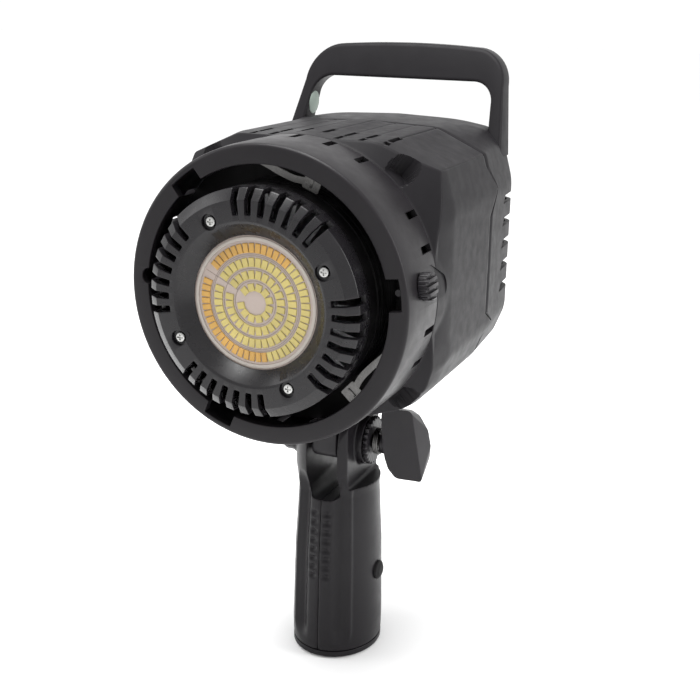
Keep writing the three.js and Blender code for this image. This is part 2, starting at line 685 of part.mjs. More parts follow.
// ---------------------------------------------------------------- release knob and lock pin
function releaseKnob() {
  const along = [KNOB_Y, 0];
  const cap = rod('x', 6.2, KNOB_RECESS_R + 0.5, KNOB_RECESS_R + 6, along, 24);
  const stem = rod('x', 2.8, 60.5, KNOB_RECESS_R + 1, along, 16);
  const carrier = box([60.2, 63.6], [KNOB_Y - 6, KNOB_Y + 4], [-4, 4]);
  const pin = rod('y', 1.5, FACE_THICK + 0.6, KNOB_Y - 5, [61.8, 0], 12);
  return spin(join(cap, stem, carrier, pin), KNOB_ANGLE);
}

place(head, 'release_knob', releaseKnob(), colours.darkPlastic);

// ---------------------------------------------------------------- tilt arm, carried by the lamp
const TILT_Y_HEAD = GAP_BEHIND_FACE;
const TILT_Z_HEAD = TILT_Z - COLLAR_HEIGHT;

function tiltArm() {
  const side = new THREE.Shape();
  side.moveTo(TILT_Y_HEAD - 21, -58);
  side.lineTo(TILT_Y_HEAD - 21, TILT_Z_HEAD - 2);
  side.absarc(TILT_Y_HEAD - 17, TILT_Z_HEAD - 2, 4, Math.PI, 1.5 * Math.PI);
  side.absarc(TILT_Y_HEAD + 17, TILT_Z_HEAD - 2, 4, 1.5 * Math.PI, 2 * Math.PI);
  side.lineTo(TILT_Y_HEAD + 21, -58);
  const arm = join(alongX(side, -7, 7, 4), box([-18, 18], [60, 112], [-64.4, -58]));
  return cut(arm, rod('x', BOLT_R + 0.3, -20, 20, [TILT_Y_HEAD, TILT_Z_HEAD], 24));
}

place(head, 'tilt_arm', tiltArm(), colours.darkPlastic);

// ---------------------------------------------------------------- pistol grip
// The grip is an oval turned about Z; both halves carry one cheek of the fork.
const GRIP_TOP = TILT_Z + 13;

function gripOval(inset) {
  const profile = [
    [0, GRIP_BASE_THICK + GAP],
    [23.3 - inset, GRIP_BASE_THICK + GAP],
    [23.5 - inset, 14],
    [22.6 - inset, 60],
    [20.8 - inset, 92],
    [22.4 - inset, 104],
    [22.4 - inset, GRIP_TOP],
    [0, GRIP_TOP],
  ];
  const points = profile.map(([r, z]) => new THREE.Vector2(r, z));
  const turnedShape = new THREE.LatheGeometry(points, 40).rotateX(Math.PI / 2).scale(1, GRIP_DEPTH_RATIO, 1);
  return solidOf(turnedShape);
}

function gripBody() {
  const outer = gripOval(0);
  const hollow = gripOval(GRIP_WALL).intersect(box([-40, 40], [-40, 40], [0, SLOT_FLOOR - 4]));
  const slot = box([-SLOT_HALF, SLOT_HALF], [-40, 40], [SLOT_FLOOR, 200]);
  const shoulder = box([13, 40], [-40, 40], [96, 200]);
  const roundTop = cut(box([-60, 60], [-60, 60], [TILT_Z, 200]), rod('x', 23.6, -61, 61, [0, TILT_Z], 40));
  const bosses = join(rod('x', 13, 12, 17, [0, TILT_Z], 32), rod('x', 13, -22.9, -16, [0, TILT_Z], 32));
  const bore = rod('x', BOLT_R + 0.3, -40, 40, [0, TILT_Z], 24);
  const screwPosts = GRIP_SCREW_HEIGHTS.map((z) => rod('x', 4.5, -20, 20, [0, z], 16));
  const screwBores = GRIP_SCREW_HEIGHTS.map((z) => join(
    rod('x', 1.8, -30, 12, [0, z], 12),
    rod('x', 3, -30, SCREW_SEAT, [0, z], 16),
  ));
  const plugBore = rod('x', 2.8, 17, 30, [0, PLUG_Z], 16);
  return cut(join(cut(outer, hollow, slot, shoulder, roundTop), bosses, ...screwPosts), bore, ...screwBores, plugBore);
}

const grip = gripBody();
const HALF_GAP = 0.15;
place(part, 'grip_shell_left', grip.intersect(box([-60, -HALF_GAP], [-60, 60], [-1, 200])), colours.grip);
place(part, 'grip_shell_right', grip.intersect(box([HALF_GAP, 60], [-60, 60], [-1, 200])), colours.grip);

function gripBase() {
  const points = [[0, 0], [21.8, 0], [23.3, 1.2], [23.3, GRIP_BASE_THICK], [0, GRIP_BASE_THICK]];
  const disc = new THREE.LatheGeometry(points.map(([r, z]) => new THREE.Vector2(r, z)), 40);
  const solid = solidOf(disc.rotateX(Math.PI / 2).scale(1, GRIP_DEPTH_RATIO, 1));
  return cut(solid, rod('z', 6.3, -1, GRIP_BASE_THICK + 1, [0, 0], 6));
}

place(part, 'grip_base', gripBase(), colours.grip);

const bushing = cut(
  join(rod('z', 6, 0, GRIP_BASE_THICK + 8, [0, 0], 6), rod('z', 9, GRIP_BASE_THICK + GAP, GRIP_BASE_THICK + 2.3, [0, 0], 24)),
  rod('z', 3.2, -1, GRIP_BASE_THICK + 6, [0, 0], 20),
);
place(part, 'thread_bushing', bushing, colours.brass);

// Two screws go in from the left and draw the halves together.
GRIP_SCREW_HEIGHTS.forEach((z, i) => {
  const screw = join(
    rod('x', 2.6, SCREW_SEAT - 2.4, SCREW_SEAT - GAP, [0, z], 16),
    rod('x', 1.5, SCREW_SEAT - 1, 11.6, [0, z], 12),
  );
  place(part, `grip_screw_${i + 1}`, screw, colours.steel);
});

const plug = join(
  rod('x', 5, 23.3, 25.3, [0, PLUG_Z], 20),
  rod('x', 2.5, 18.4, 23.8, [0, PLUG_Z], 16),
);
place(part, 'grip_plug', plug, colours.rubber);

// ---------------------------------------------------------------- tilt joint
place(part, 'tilt_bolt', rod('x', BOLT_R, -29, 38, [0, TILT_Z], 24), colours.steel);

const nutCap = cut(
  rod('x', 12, -30.5, -23.2, [0, TILT_Z], 28),
  rod('x', BOLT_R + 0.3, -29.3, -20, [0, TILT_Z], 24),
);
place(part, 'nut_cap', nutCap, colours.darkPlastic);

[[-8.2, -7.3], [7.3, 8.2]].forEach(([from, to], i) => {
  const washer = cut(rod('x', 11, from, to, [0, TILT_Z], 24), rod('x', BOLT_R + 0.3, -20, 20, [0, TILT_Z], 24));
  place(part, `friction_washer_${i + 1}`, washer, colours.steel);
});

function toothedWasher() {
  const teeth = 24;
  const points = [];
  for (let i = 0; i < teeth * 2; i += 1) {
    const radius = i % 2 ? 12.6 : 11.4;
    const angle = (i * Math.PI) / teeth;
    points.push([radius * Math.cos(angle), TILT_Z + radius * Math.sin(angle)]);
  }
  return cut(alongX(outline(points), 17.3, 19.6), rod('x', BOLT_R + 0.3, 10, 30, [0, TILT_Z], 24));
}

place(part, 'toothed_washer', toothedWasher(), colours.darkPlastic);

const springSleeve = cut(
  rod('x', 7.2, 19.9, 23.9, [0, TILT_Z], 24),
  rod('x', BOLT_R + 0.5, 15, 30, [0, TILT_Z], 24),
);
place(part, 'pressure_spring', springSleeve, colours.steel);

// The wing knob is a paddle on a hub. Its front face has a straight outer edge and its back face a bulging one.
const WING_HALF_DEPTH = 6.5;
const WING_FRONT = [
  [24.9, 20.5], [41.3, 21.5], [45.2, 1.3], [48.3, -16], [33.8, -16.7], [29.8, -12.8], [27.5, -7.3], [25.4, 8],
];
const WING_BACK = [
  [25, 17], [37, 17.5], [41.5, 15.2], [46.5, 7.5], [48.1, 0], [47.9, -6], [46, -13], [43, -16.5], [33, -16.5], [27.5, -8],
];

function wingKnob() {
  const front = WING_FRONT.map(([x, z]) => [x, -WING_HALF_DEPTH, z]);
  const back = WING_BACK.map(([x, z]) => [x, WING_HALF_DEPTH, z]);
  const paddle = wasm.Manifold.hull([...front, ...back]);
  const hub = rod('x', 6.2, 24.2, 30, [0, 0], 24);
  const bored = cut(join(paddle, hub), rod('x', BOLT_R + 0.3, 20, 38.4, [0, 0], 24));
  return bored.translate([0, 0, TILT_Z]);
}

place(part, 'wing_knob', wingKnob(), colours.darkPlastic);

export default part;
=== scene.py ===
"""A handheld LED spotlight: camera, light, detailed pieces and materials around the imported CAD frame."""

import json
import math

import bmesh
import bpy
import numpy as np
from mathutils import Matrix, Vector


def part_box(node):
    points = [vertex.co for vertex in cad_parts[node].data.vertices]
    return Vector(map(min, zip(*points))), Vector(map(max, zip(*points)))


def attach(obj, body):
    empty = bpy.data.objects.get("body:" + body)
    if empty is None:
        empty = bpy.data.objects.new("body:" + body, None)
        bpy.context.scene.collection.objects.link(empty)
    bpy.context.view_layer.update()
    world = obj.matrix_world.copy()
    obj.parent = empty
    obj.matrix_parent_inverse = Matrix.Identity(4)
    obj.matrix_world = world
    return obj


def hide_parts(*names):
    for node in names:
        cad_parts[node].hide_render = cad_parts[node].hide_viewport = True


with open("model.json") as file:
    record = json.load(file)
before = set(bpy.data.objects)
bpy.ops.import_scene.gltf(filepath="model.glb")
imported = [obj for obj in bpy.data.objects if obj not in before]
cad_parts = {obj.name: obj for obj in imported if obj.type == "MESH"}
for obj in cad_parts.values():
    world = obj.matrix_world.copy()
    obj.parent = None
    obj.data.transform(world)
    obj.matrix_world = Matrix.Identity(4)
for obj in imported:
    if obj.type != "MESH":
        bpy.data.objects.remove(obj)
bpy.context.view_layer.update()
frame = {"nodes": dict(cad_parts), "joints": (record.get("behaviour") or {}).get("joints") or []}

# Shapes are in millimetres, +Y towards the back of the lamp and +Z up, from one of three origins: the centre
# of the collar's face, the floor under the grip, and the tilt joint.
MM = 0.001
collar_low, collar_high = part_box("front_collar")
LAMP = np.array([(collar_low.x + collar_high.x) / 2, collar_low.y, (collar_low.z + collar_high.z) / 2]) / MM
PART = np.zeros(3)
TILT_Z = next(joint for joint in frame["joints"] if joint["name"] == "lamp_tilt")["pos_m"][2] / MM
TILT = np.array([0, 0, TILT_Z])

# ---------- driving dimensions: camera, in metres and degrees
CAMERA_AT = (0.22896, -0.52717, 0.33920)
CAMERA_TURNS = (23.06, 16.93, 1.04)
CAMERA_LENS = 60.17
CAMERA_SENSOR = 36

# ---------- driving dimensions: collar and drum
THROAT_R = 58.7
COLLAR_R = 67.45
DRUM_R = 68
DRUM_INNER_R = 65.2
DRUM_END = 35.4
LUG_ANGLES = [8, 128, 248]
LUG_HALF = 6.6
LUG_DEPTH = 5.7
PIN_ANGLE = 176
PIN_HALF = 3.6
PIN_DEPTH = 3.2
VENT_PITCH = 13.7
VENT_START = 20
VENT_LENGTH = 11.6
VENT_HALF = 1.7
KNOB_ANGLE = 8.2
KNOB_Y = 17
KNOB_TRAVEL = 12
RECESS_HALF = 6.8
RECESS_END = 41
RECESS_DROP = -6
RECESS_FLOOR = 67.25

# ---------- driving dimensions: body. The section's corners run from the bottom up its right side
BODY_CORNERS = [(0, -67.45), (18, -67.4), (52, -57.5), (62.4, -46.8), (68, -32.4), (68, 36.5), (63, 54.5),
                (38, 66), (14, 67.2), (0, 67.45)]
CORNER_SOFTNESS = 1.2
SHELL_START = DRUM_END + 0.3
WALL = 2.4
CONE_SLOPE = 1.1
CHANNEL_HALF = 6.3
CHANNEL_END = 40.5
CHANNEL_ANGLES = [49, 131, 224, 316]
SEAM_Y = 112.7
SEAM_GAP = 1.3
SEAM_TIPS = [(28.6, 12, 8.5), (-25.5, 12, 5.0)]
SLIT_PITCH = 10.8
SLIT_HALF = 1.4
SLIT_COLUMNS = [SLIT_PITCH * (i - 3.5) for i in range(8)]
REAR_SLIT = (50.5, 63.5)
FRONT_SLIT_END = 48.5
FRONT_SLIT_STARTS = {16.2: 38.5, 27.0: 41.0, 37.8: 45.0}
COVER_END = 168
COVER_INNER_END = 165.4
COVER_ROLL = 11
SHOULDER = (54, 58.8)
LOUVRE_TOP = 28
LOUVRE_PITCH = 11.7
LOUVRE_HALF = 2.1
HANDLE_EDGE = 2.0
HANDLE_DEPTH = 15.5

# ---------- driving dimensions: bezel, LED board and springs
BEZEL_SCREW_R = 39.3
BEZEL_SCREW_ANGLES = [28, 118, 208, 298]
SLOTS_PER_QUADRANT = 7
SLOT_TURN = 8.4
LED_RINGS = [(7.0, 12, 3.4, 3.0), (12.5, 24, 3.8, 2.75), (18.0, 36, 4.0, 2.7), (24.2, 52, 4.2, 2.45)]
LED_GAP_ANGLE = 154
LED_FRONT = -7.4
SPRING_ANGLES = [68, 197, 317]
SPRING_PATH = [(27, 60.4), (22, 58.2), (16, 55.8), (9, 54.6), (3, 55.4)]

# ---------- driving dimensions: rear controls
DIAL_CENTRES = {"brightness": (-24, -8), "colour": (24, -8)}
DIAL_SWEEP = 140
BUTTON_CENTRES = [(-7, -8), (7, -8)]
ROCKER_CENTRE = (-26, -30)

# ---------- driving dimensions: grip and tilt joint
GRIP_DEPTH_RATIO = 1.14
GRIP_RADII = [(4.3, 23.1), (6.5, 23.35), (14, 23.5), (36, 23.1), (60, 22.6), (78, 21.6), (92, 20.9),
              (104, 22.3), (112, 22.4), (131, 22.4)]
RIDGE_ANGLE = 48.5
FLUTE_ANGLE = 63
RIB_PITCH = 5
RIB_SPAN = (45, 85)
FORK_HALF = 8.5
FORK_FLOOR = 90
SHOULDER_X, SHOULDER_Z = 13, 96
BORE_R = 4.3
SCREW_HEIGHTS = [30, 76]
PLUG_Z = 44.5
WING_HALF_DEPTH = 6.5
WING_FRONT = [(24.9, 20.5, 4), (41.3, 21.5, 2.5), (45.2, 1.3, 9), (48.3, -16, 1.2), (33.8, -16.7, 4),
              (29.4, -12, 4), (27.3, -6, 6), (25.4, 8, 8)]
WING_BACK = [(25, 17, 3), (37, 17.5, 4), (41.5, 15.2, 4), (46.5, 7.5, 5), (48.1, 0, 5), (47.9, -6, 5),
             (46, -13, 4), (43, -16.5, 3), (33, -16.5, 4), (27.5, -8, 5)]
LABEL_CENTRE = np.array([-51.7, 161.8, 70.2])


# ---------- camera
def add_object(name, data):
    item = bpy.data.objects.new(name, data)
    bpy.context.scene.collection.objects.link(item)
    return item


def make_camera():
    azimuth, elevation, roll = (math.radians(angle) for angle in CAMERA_TURNS)
    forward = Vector((-math.sin(azimuth) * math.cos(elevation),
                      math.cos(azimuth) * math.cos(elevation),
                      -math.sin(elevation)))
    level_right = forward.cross(Vector((0, 0, 1))).normalized()
    level_up = level_right.cross(forward)
    right = level_right * math.cos(roll) + level_up * math.sin(roll)
    up = level_up * math.cos(roll) - level_right * math.sin(roll)
    data = bpy.data.cameras.new("camera")
    data.lens = CAMERA_LENS
    data.sensor_width = CAMERA_SENSOR
    camera = add_object("camera", data)
    axes = Matrix((right, up, -forward)).transposed()
    camera.matrix_world = Matrix.Translation(Vector(CAMERA_AT)) @ axes.to_4x4()
    bpy.context.scene.camera = camera


make_camera()


# ---------- mesh helpers
def new_piece(name, points, faces, origin=LAMP, sharp=38):
    mesh = bpy.data.meshes.new(name)
    places = (np.asarray(points, float) + origin) * MM
    mesh.from_pydata(places.tolist(), [], [list(face) for face in faces])
    piece = add_object(name, mesh)
    tidy_normals(piece)
    shade(piece, sharp)
    return piece


def piece_from(work, name, sharp=38):
    """Makes an object of a finished bmesh, and frees the bmesh."""
    mesh = bpy.data.meshes.new(name)
    work.to_mesh(mesh)
    work.free()
    piece = add_object(name, mesh)
    shade(piece, sharp)
    return piece


def tidy_normals(piece):
    work = bmesh.new()
    work.from_mesh(piece.data)
    bmesh.ops.remove_doubles(work, verts=work.verts, dist=1e-7)
    bmesh.ops.recalc_face_normals(work, faces=work.faces)
    work.to_mesh(piece.data)
    work.free()


def shade(piece, sharp=38):
    piece.data.shade_smooth()
    piece.data.set_sharp_from_angle(angle=math.radians(sharp))


def apply_modifiers(piece):
    bpy.context.view_layer.update()
    graph = bpy.context.evaluated_depsgraph_get()
    mesh = bpy.data.meshes.new_from_object(piece.evaluated_get(graph))
    piece.modifiers.clear()
    old = piece.data
    piece.data = mesh
    bpy.data.meshes.remove(old)


def join_pieces(pieces, name):
    work = bmesh.new()
    for piece in pieces:
        work.from_mesh(piece.data)
        discard(piece)
    return piece_from(work, name)


def discard(piece):
    mesh = piece.data
    bpy.data.objects.remove(piece)
    bpy.data.meshes.remove(mesh)


def boolean(piece, others, operation="DIFFERENCE"):
    """Cuts or adds the others, which may not overlap each other, and removes them."""
    tool = join_pieces(others, "tool") if len(others) > 1 else others[0]
    modifier = piece.modifiers.new("boolean", "BOOLEAN")
    modifier.operation = operation
    modifier.solver = "EXACT"
    modifier.object = tool
    apply_modifiers(piece)
    discard(tool)
    return piece


def bevel(piece, width, segments=3, angle=35, sharp=38):
    modifier = piece.modifiers.new("bevel", "BEVEL")
    modifier.width = width * MM
    modifier.segments = segments
    modifier.limit_method = "ANGLE"
    modifier.angle_limit = math.radians(angle)
    apply_modifiers(piece)
    shade(piece, sharp)
    return piece


def soften(piece, voxel, smooth):
    """Fuses overlapping solids and rounds every edge by about one voxel."""
    remesh = piece.modifiers.new("remesh", "REMESH")
    remesh.mode = "VOXEL"
    remesh.voxel_size = voxel * MM
    relax = piece.modifiers.new("relax", "SMOOTH")
    relax.factor = 0.5
    relax.iterations = smooth
    apply_modifiers(piece)
    shade(piece, 180)
    return piece


def rounded(corners, steps=5):
    """A closed outline from (u, v, radius) corners, each turned into an arc."""
    points = []
    count = len(corners)
    for i, (u, v, radius) in enumerate(corners):
        corner = np.array([u, v], float)
        if radius <= 0:
            points.append(corner)
            continue
        before = np.array(corners[i - 1][:2], float) - corner
        after = np.array(corners[(i + 1) % count][:2], float) - corner
        before /= np.linalg.norm(before)
        after /= np.linalg.norm(after)
        half = math.acos(np.clip(before @ after, -1, 1)) / 2
        reach = radius / math.tan(half)
        centre = corner + (before + after) / np.linalg.norm(before + after) * radius / math.sin(half)
        start = corner + before * reach - centre
        end = corner + after * reach - centre
        turn = math.atan2(start[0] * end[1] - start[1] * end[0], start @ end)
        for step in range(steps + 1):
            angle = turn * step / steps
            cos, sin = math.cos(angle), math.sin(angle)
            points.append(centre + [cos * start[0] - sin * start[1], sin * start[0] + cos * start[1]])
    return np.array(points)


def rectangle(low_u, high_u, low_v, high_v, radius=0, steps=5):
    corners = ((low_u, low_v), (high_u, low_v), (high_u, high_v), (low_u, high_v))
    return rounded([(u, v, radius) for u, v in corners], steps)


def axis_points(axis, first, second, along):
    """Puts plane coordinates and a height on the row's axes, for a shape about or along one axis."""
    order = {"x": (along, first, second), "y": (first, along, second), "z": (first, second, along)}
    return np.stack(np.broadcast_arrays(*order[axis]), axis=-1)


def ring_faces(rows, columns, closed_rows=True):
    """Quads of a grid whose columns wrap around, and whose rows may."""
    row = np.arange(rows if closed_rows else rows - 1)[:, None]
    column = np.arange(columns)[None, :]
    next_row = (row + 1) % rows
    next_column = (column + 1) % columns
    quads = np.stack([row * columns + column, row * columns + next_column,
                      next_row * columns + next_column, next_row * columns + column], axis=-1)
    return quads.reshape(-1, 4).tolist()


def tube_faces(rows, columns):
    """Quads of a tube of rings of points, and a face at each of its ends."""
    last = (rows - 1) * columns
    ends = [list(range(columns)), [last + i for i in range(columns)][::-1]]
    return ring_faces(rows, columns, closed_rows=False) + ends


def turned(name, profile, axis="y", origin=LAMP, steps=128, centre=(0, 0), sharp=38, stretch=1.0):
    """Turns a closed (radius, height) profile about an axis. stretch makes an oval of the round."""
    profile = np.asarray(profile, float)
    angles = np.linspace(0, 2 * math.pi, steps, endpoint=False)[:, None]
    first = centre[0] + profile[None, :, 0] * np.cos(angles)
    second = centre[1] + profile[None, :, 0] * np.sin(angles) * stretch
    points = axis_points(axis, first, second, profile[None, :, 1] + 0 * angles)
    return new_piece(name, points.reshape(-1, 3), ring_faces(steps, len(profile)), origin, sharp)


def turned_shape(name, angles, sections, axis="y", origin=LAMP, sharp=38):
    """Like turned, but with its own (radius, height) section at each angle."""
    sections = np.asarray(sections, float)
    angles = np.asarray(angles, float)[:, None]
    first = sections[:, :, 0] * np.cos(angles)
    second = sections[:, :, 0] * np.sin(angles)
    points = axis_points(axis, first, second, sections[:, :, 1])
    return new_piece(name, points.reshape(-1, 3), ring_faces(*sections.shape[:2]), origin, sharp)


def prism(name, outline, low, high, axis="y", origin=LAMP):
    """Extrudes a closed outline between two heights."""
    outline = np.asarray(outline, float)
    count = len(outline)
    ends = [axis_points(axis, outline[:, 0], outline[:, 1], height) for height in (low, high)]
    faces = [[i, (i + 1) % count, count + (i + 1) % count, count + i] for i in range(count)]
    faces += [list(range(count))[::-1], list(range(count, 2 * count))]
    return new_piece(name, np.concatenate(ends), faces, origin)


def block(name, x, y, z, origin=LAMP, round_edge=0.0):
    piece = prism(name, rectangle(*x, *y), z[0], z[1], "z", origin)
    return bevel(piece, round_edge, 2) if round_edge else piece


def rod(name, radius, low, high, axis="y", origin=LAMP, centre=(0, 0), count=48):
    angles = np.linspace(0, 2 * math.pi, count, endpoint=False)
    outline = np.stack([centre[0] + radius * np.cos(angles), centre[1] + radius * np.sin(angles)], axis=-1)
    return prism(name, outline, low, high, axis, origin)


def hull(name, points, origin):
    """The convex body around a cloud of points."""
    work = bmesh.new()
    for point in (np.asarray(points, float) + origin) * MM:
        work.verts.new(point)
    found = bmesh.ops.convex_hull(work, input=work.verts)
    spare = [item for item in found["geom_interior"] if isinstance(item, bmesh.types.BMVert)]
    bmesh.ops.delete(work, geom=spare, context="VERTS")
    bmesh.ops.dissolve_limit(work, angle_limit=math.radians(1), verts=work.verts, edges=work.edges)
    bmesh.ops.recalc_face_normals(work, faces=work.faces)
    return piece_from(work, name, 32)


def turn_about_lamp(piece, degrees):
    """Turns a piece about the lamp's axis, from +X towards +Z."""
    centre = Vector(LAMP * MM)
    spin = Matrix.Rotation(-math.radians(degrees), 4, "Y")
    piece.data.transform(Matrix.Translation(centre) @ spin @ Matrix.Translation(-centre))
    return piece


def place(piece, body, slot, look, *nodes):
    piece.data.materials.clear()
    piece.data.materials.append(look)
    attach(piece, body)
    if nodes:
        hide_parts(*nodes)
    return piece


# ---------- materials
NOISE_RANGE = (0.3, 0.7)


def material(name):
    look = bpy.data.materials.new(name)
    look.use_nodes = True
    nodes = look.node_tree.nodes
    place_on = nodes.new("ShaderNodeTexCoord").outputs["Object"]
    return look, nodes, look.node_tree.links, nodes["Principled BSDF"], place_on


def noise(nodes, links, coordinates, scale, detail=3.0, roughness=0.55):
    texture = nodes.new("ShaderNodeTexNoise")
    texture.inputs["Scale"].default_value = scale
    texture.inputs["Detail"].default_value = detail
    texture.inputs["Roughness"].default_value = roughness
    links.new(coordinates, texture.inputs["Vector"])
    return texture.outputs["Fac"]


def ramp(nodes, links, factor, *colours):
    """Fades between two colours over the usual range of a noise."""
    blend = nodes.new("ShaderNodeValToRGB")
    for stop, position, colour in zip(blend.color_ramp.elements, NOISE_RANGE, colours):
        stop.position = position
        stop.color = (*colour, 1)
    links.new(factor, blend.inputs["Fac"])
    return blend.outputs["Color"]


def spread(nodes, links, factor, low, high):
    """Maps the usual range of a noise to values from low to high."""
    node = nodes.new("ShaderNodeMapRange")
    limits = {"From Min": NOISE_RANGE[0], "From Max": NOISE_RANGE[1], "To Min": low, "To Max": high}
    for socket, value in limits.items():
        node.inputs[socket].default_value = value
    links.new(factor, node.inputs["Value"])
    return node.outputs["Result"]


def bump(nodes, links, height, shader, strength, distance):
    node = nodes.new("ShaderNodeBump")
    node.inputs["Strength"].default_value = strength
    node.inputs["Distance"].default_value = distance * MM
    links.new(height, node.inputs["Height"])
    links.new(node.outputs["Normal"], shader.inputs["Normal"])


def shades(colour, amount):
    return [channel * (1 - amount) for channel in colour], [channel * (1 + amount) for channel in colour]


def plastic(name, colour, roughness, grain=2600, depth=0.12, mottle=0.08, specular=0.5, coat=0.0):
    """Moulded plastic: a fine spark-eroded grain, slight mottling and uneven gloss."""
    look, nodes, links, shader, place_on = material(name)
    cloudy = noise(nodes, links, place_on, 45, 4)
    links.new(ramp(nodes, links, cloudy, *shades(colour, mottle)), shader.inputs["Base Color"])
    patchy = noise(nodes, links, place_on, 160, 5)
    links.new(spread(nodes, links, patchy, roughness - 0.05, roughness + 0.06), shader.inputs["Roughness"])
    bump(nodes, links, noise(nodes, links, place_on, grain, 2), shader, depth, 0.12)
    shader.inputs["Specular IOR Level"].default_value = specular
    shader.inputs["Coat Weight"].default_value = coat
    shader.inputs["Coat Roughness"].default_value = 0.18
    return look


def metal(name, colour, roughness):
    """Worked metal: slight clouding, and fine scratches in its gloss and relief."""
    look, nodes, links, shader, place_on = material(name)
    cloudy = noise(nodes, links, place_on, 220, 4)
    links.new(ramp(nodes, links, cloudy, *shades(colour, 0.12)), shader.inputs["Base Color"])
    scratches = noise(nodes, links, place_on, 900, 6, 0.7)
    links.new(spread(nodes, links, scratches, roughness - 0.08, roughness + 0.12), shader.inputs["Roughness"])
    bump(nodes, links, scratches, shader, 0.1, 0.05)
    shader.inputs["Metallic"].default_value = 1
    return look


HOUSING = plastic("housing_plastic", (0.0122, 0.0114, 0.0127), 0.40, specular=0.07)
COLLAR = plastic("collar_plastic", (0.0118, 0.0106, 0.0120), 0.36, specular=0.16)
INNER = plastic("inner_black_plastic", (0.004, 0.0036, 0.004), 0.5, specular=0.12)
BEZEL = plastic("bezel_plastic", (0.0085, 0.0078, 0.009), 0.27, depth=0.05, specular=0.3)
GRIP = plastic("grip_plastic", (0.0085, 0.0076, 0.0089), 0.36, grain=2000, depth=0.1, specular=0.16)
KNOB = plastic("knob_plastic", (0.0125, 0.0112, 0.0132), 0.34, depth=0.07, specular=0.2)
ARM = plastic("arm_plastic", (0.0115, 0.0104, 0.012), 0.4, specular=0.2)
RUBBER = plastic("rubber", (0.010, 0.0095, 0.010), 0.75, grain=3500, depth=0.3, specular=0.2)
GLOSS = plastic("gloss_plastic", (0.008, 0.008, 0.010), 0.14, depth=0.02, coat=0.5)
MARK = plastic("printed_mark", (0.40, 0.40, 0.39), 0.6, depth=0.04)
LABEL = plastic("label_paper", (0.22, 0.27, 0.235), 0.55, depth=0.05)
LED_BOARD = plastic("led_board_coating", (0.34, 0.28, 0.25), 0.55, grain=1800, depth=0.05, mottle=0.05)
LED_TRACE = plastic("led_board_trace", (0.19, 0.155, 0.13), 0.5, depth=0.05)
LED_PALE = plastic("led_phosphor_pale", (0.41, 0.335, 0.105), 0.4, grain=1500, depth=0.05, mottle=0.2)
LED_AMBER = plastic("led_phosphor_amber", (0.41, 0.23, 0.045), 0.4, grain=1500, depth=0.05, mottle=0.2)
WHITE = plastic("white_plastic", (0.32, 0.29, 0.26), 0.5, depth=0.05)
STEEL = metal("zinc_steel", (0.40, 0.40, 0.39), 0.25)
SPRING = metal("spring_steel", (0.10, 0.098, 0.096), 0.3)
ALUMINIUM = metal("heat_sink_aluminium", (0.45, 0.45, 0.46), 0.45)
BRASS = metal("brass", (0.75, 0.56, 0.28), 0.3)
BOARD = plastic("circuit_board", (0.02, 0.10, 0.045), 0.4)


# ---------- radial shape functions
NO_REACH = 500.0


def soft_min(a, b, k):
    gap = np.maximum(k - np.abs(a - b), 0) / k
    return np.minimum(a, b) - gap * gap * k / 4


def soft_max(a, b, k):
    return -soft_min(-a, -b, k)


def off_angle(degrees, centre):
    """How far an angle is from a centre, the short way round."""
    return np.abs((degrees - centre + 180) % 360 - 180)


def reach_to(distance, facing):
    """How far a ray travels to a plane it faces, and a length past everything for a plane it doesn't."""
    return np.where(facing > 1e-3, distance / np.where(facing > 1e-3, facing, 1e-3), NO_REACH)


def plane_reach(angles, along, normal, distance):
    """Radius at which a ray from the lamp's axis meets the plane normal . p = distance; both sides alike."""
    facing = normal[0] * np.abs(np.cos(angles)) + normal[2] * np.sin(angles)
    return reach_to(distance - normal[1] * along, facing)


def plane_through(a, b, c):
    """(normal, distance) of the plane through three points, with its normal pointing out."""
    a, b, c = (np.asarray(p, float) for p in (a, b, c))
    normal = np.cross(b - a, c - a)
    normal /= np.linalg.norm(normal)
    distance = normal @ a
    return (normal, distance) if distance > 0 else (-normal, -distance)


def edge_reach(angles, start, end, pull):
    """Radius at which a ray from the axis meets the edge from start to end, once pull has moved it in."""
    run_x, run_z = end[0] - start[0], end[1] - start[1]
    length = np.hypot(run_x, run_z)
    normal_x, normal_z = run_z / length, -run_x / length
    distance = normal_x * start[0] + normal_z * start[1] - pull(np.abs(normal_x))
    return reach_to(distance, normal_x * np.abs(np.cos(angles)) + normal_z * np.sin(angles))


def section_radius(angles, corners, pull):
    """Radius of a convex section that is the same on both sides, with its corners softened."""
    radius = None
    for start, end in zip(corners, corners[1:]):
        reach = edge_reach(angles, start, end, pull)
        radius = reach if radius is None else soft_min(radius, reach, CORNER_SOFTNESS)
    return radius


def body_radius(angles, along):
    """The squarish section, with its sides and shoulders drawn in a little just behind the cone."""
    draft = 2.2 * np.clip((56 - along) / 16, 0, 1) ** 1.5
    return section_radius(angles, BODY_CORNERS, lambda facing: draft * np.minimum(1, 2 * facing))


def step_angles(count, extra, spacing=0.18, around=6):
    """Even angles in degrees, with finer ones on both sides of each extra angle."""
    fine = [edge + spacing * i for edge in extra for i in range(-around, around + 1)]
    even = np.linspace(0, 360, count, endpoint=False)
    return np.unique(np.round(np.concatenate([even, np.mod(fine, 360)]), 3))


# ---------- front collar
def vent_cutters():
    low, high = DRUM_END - VENT_LENGTH, DRUM_END + 1
    outline = rounded([(low, -VENT_HALF, 0.4), (high, -VENT_HALF, 0), (high, VENT_HALF, 0),
                       (low, VENT_HALF, 0.4)], 3)
    cutters = []
    for angle in np.arange(VENT_START, 350, VENT_PITCH):
        if min(abs(angle - other) for other in CHANNEL_ANGLES + [KNOB_ANGLE]) > 6:
            cutters.append(turn_about_lamp(prism("vent", outline, DRUM_R - 5, DRUM_R + 4, "x"), angle))
    return cutters


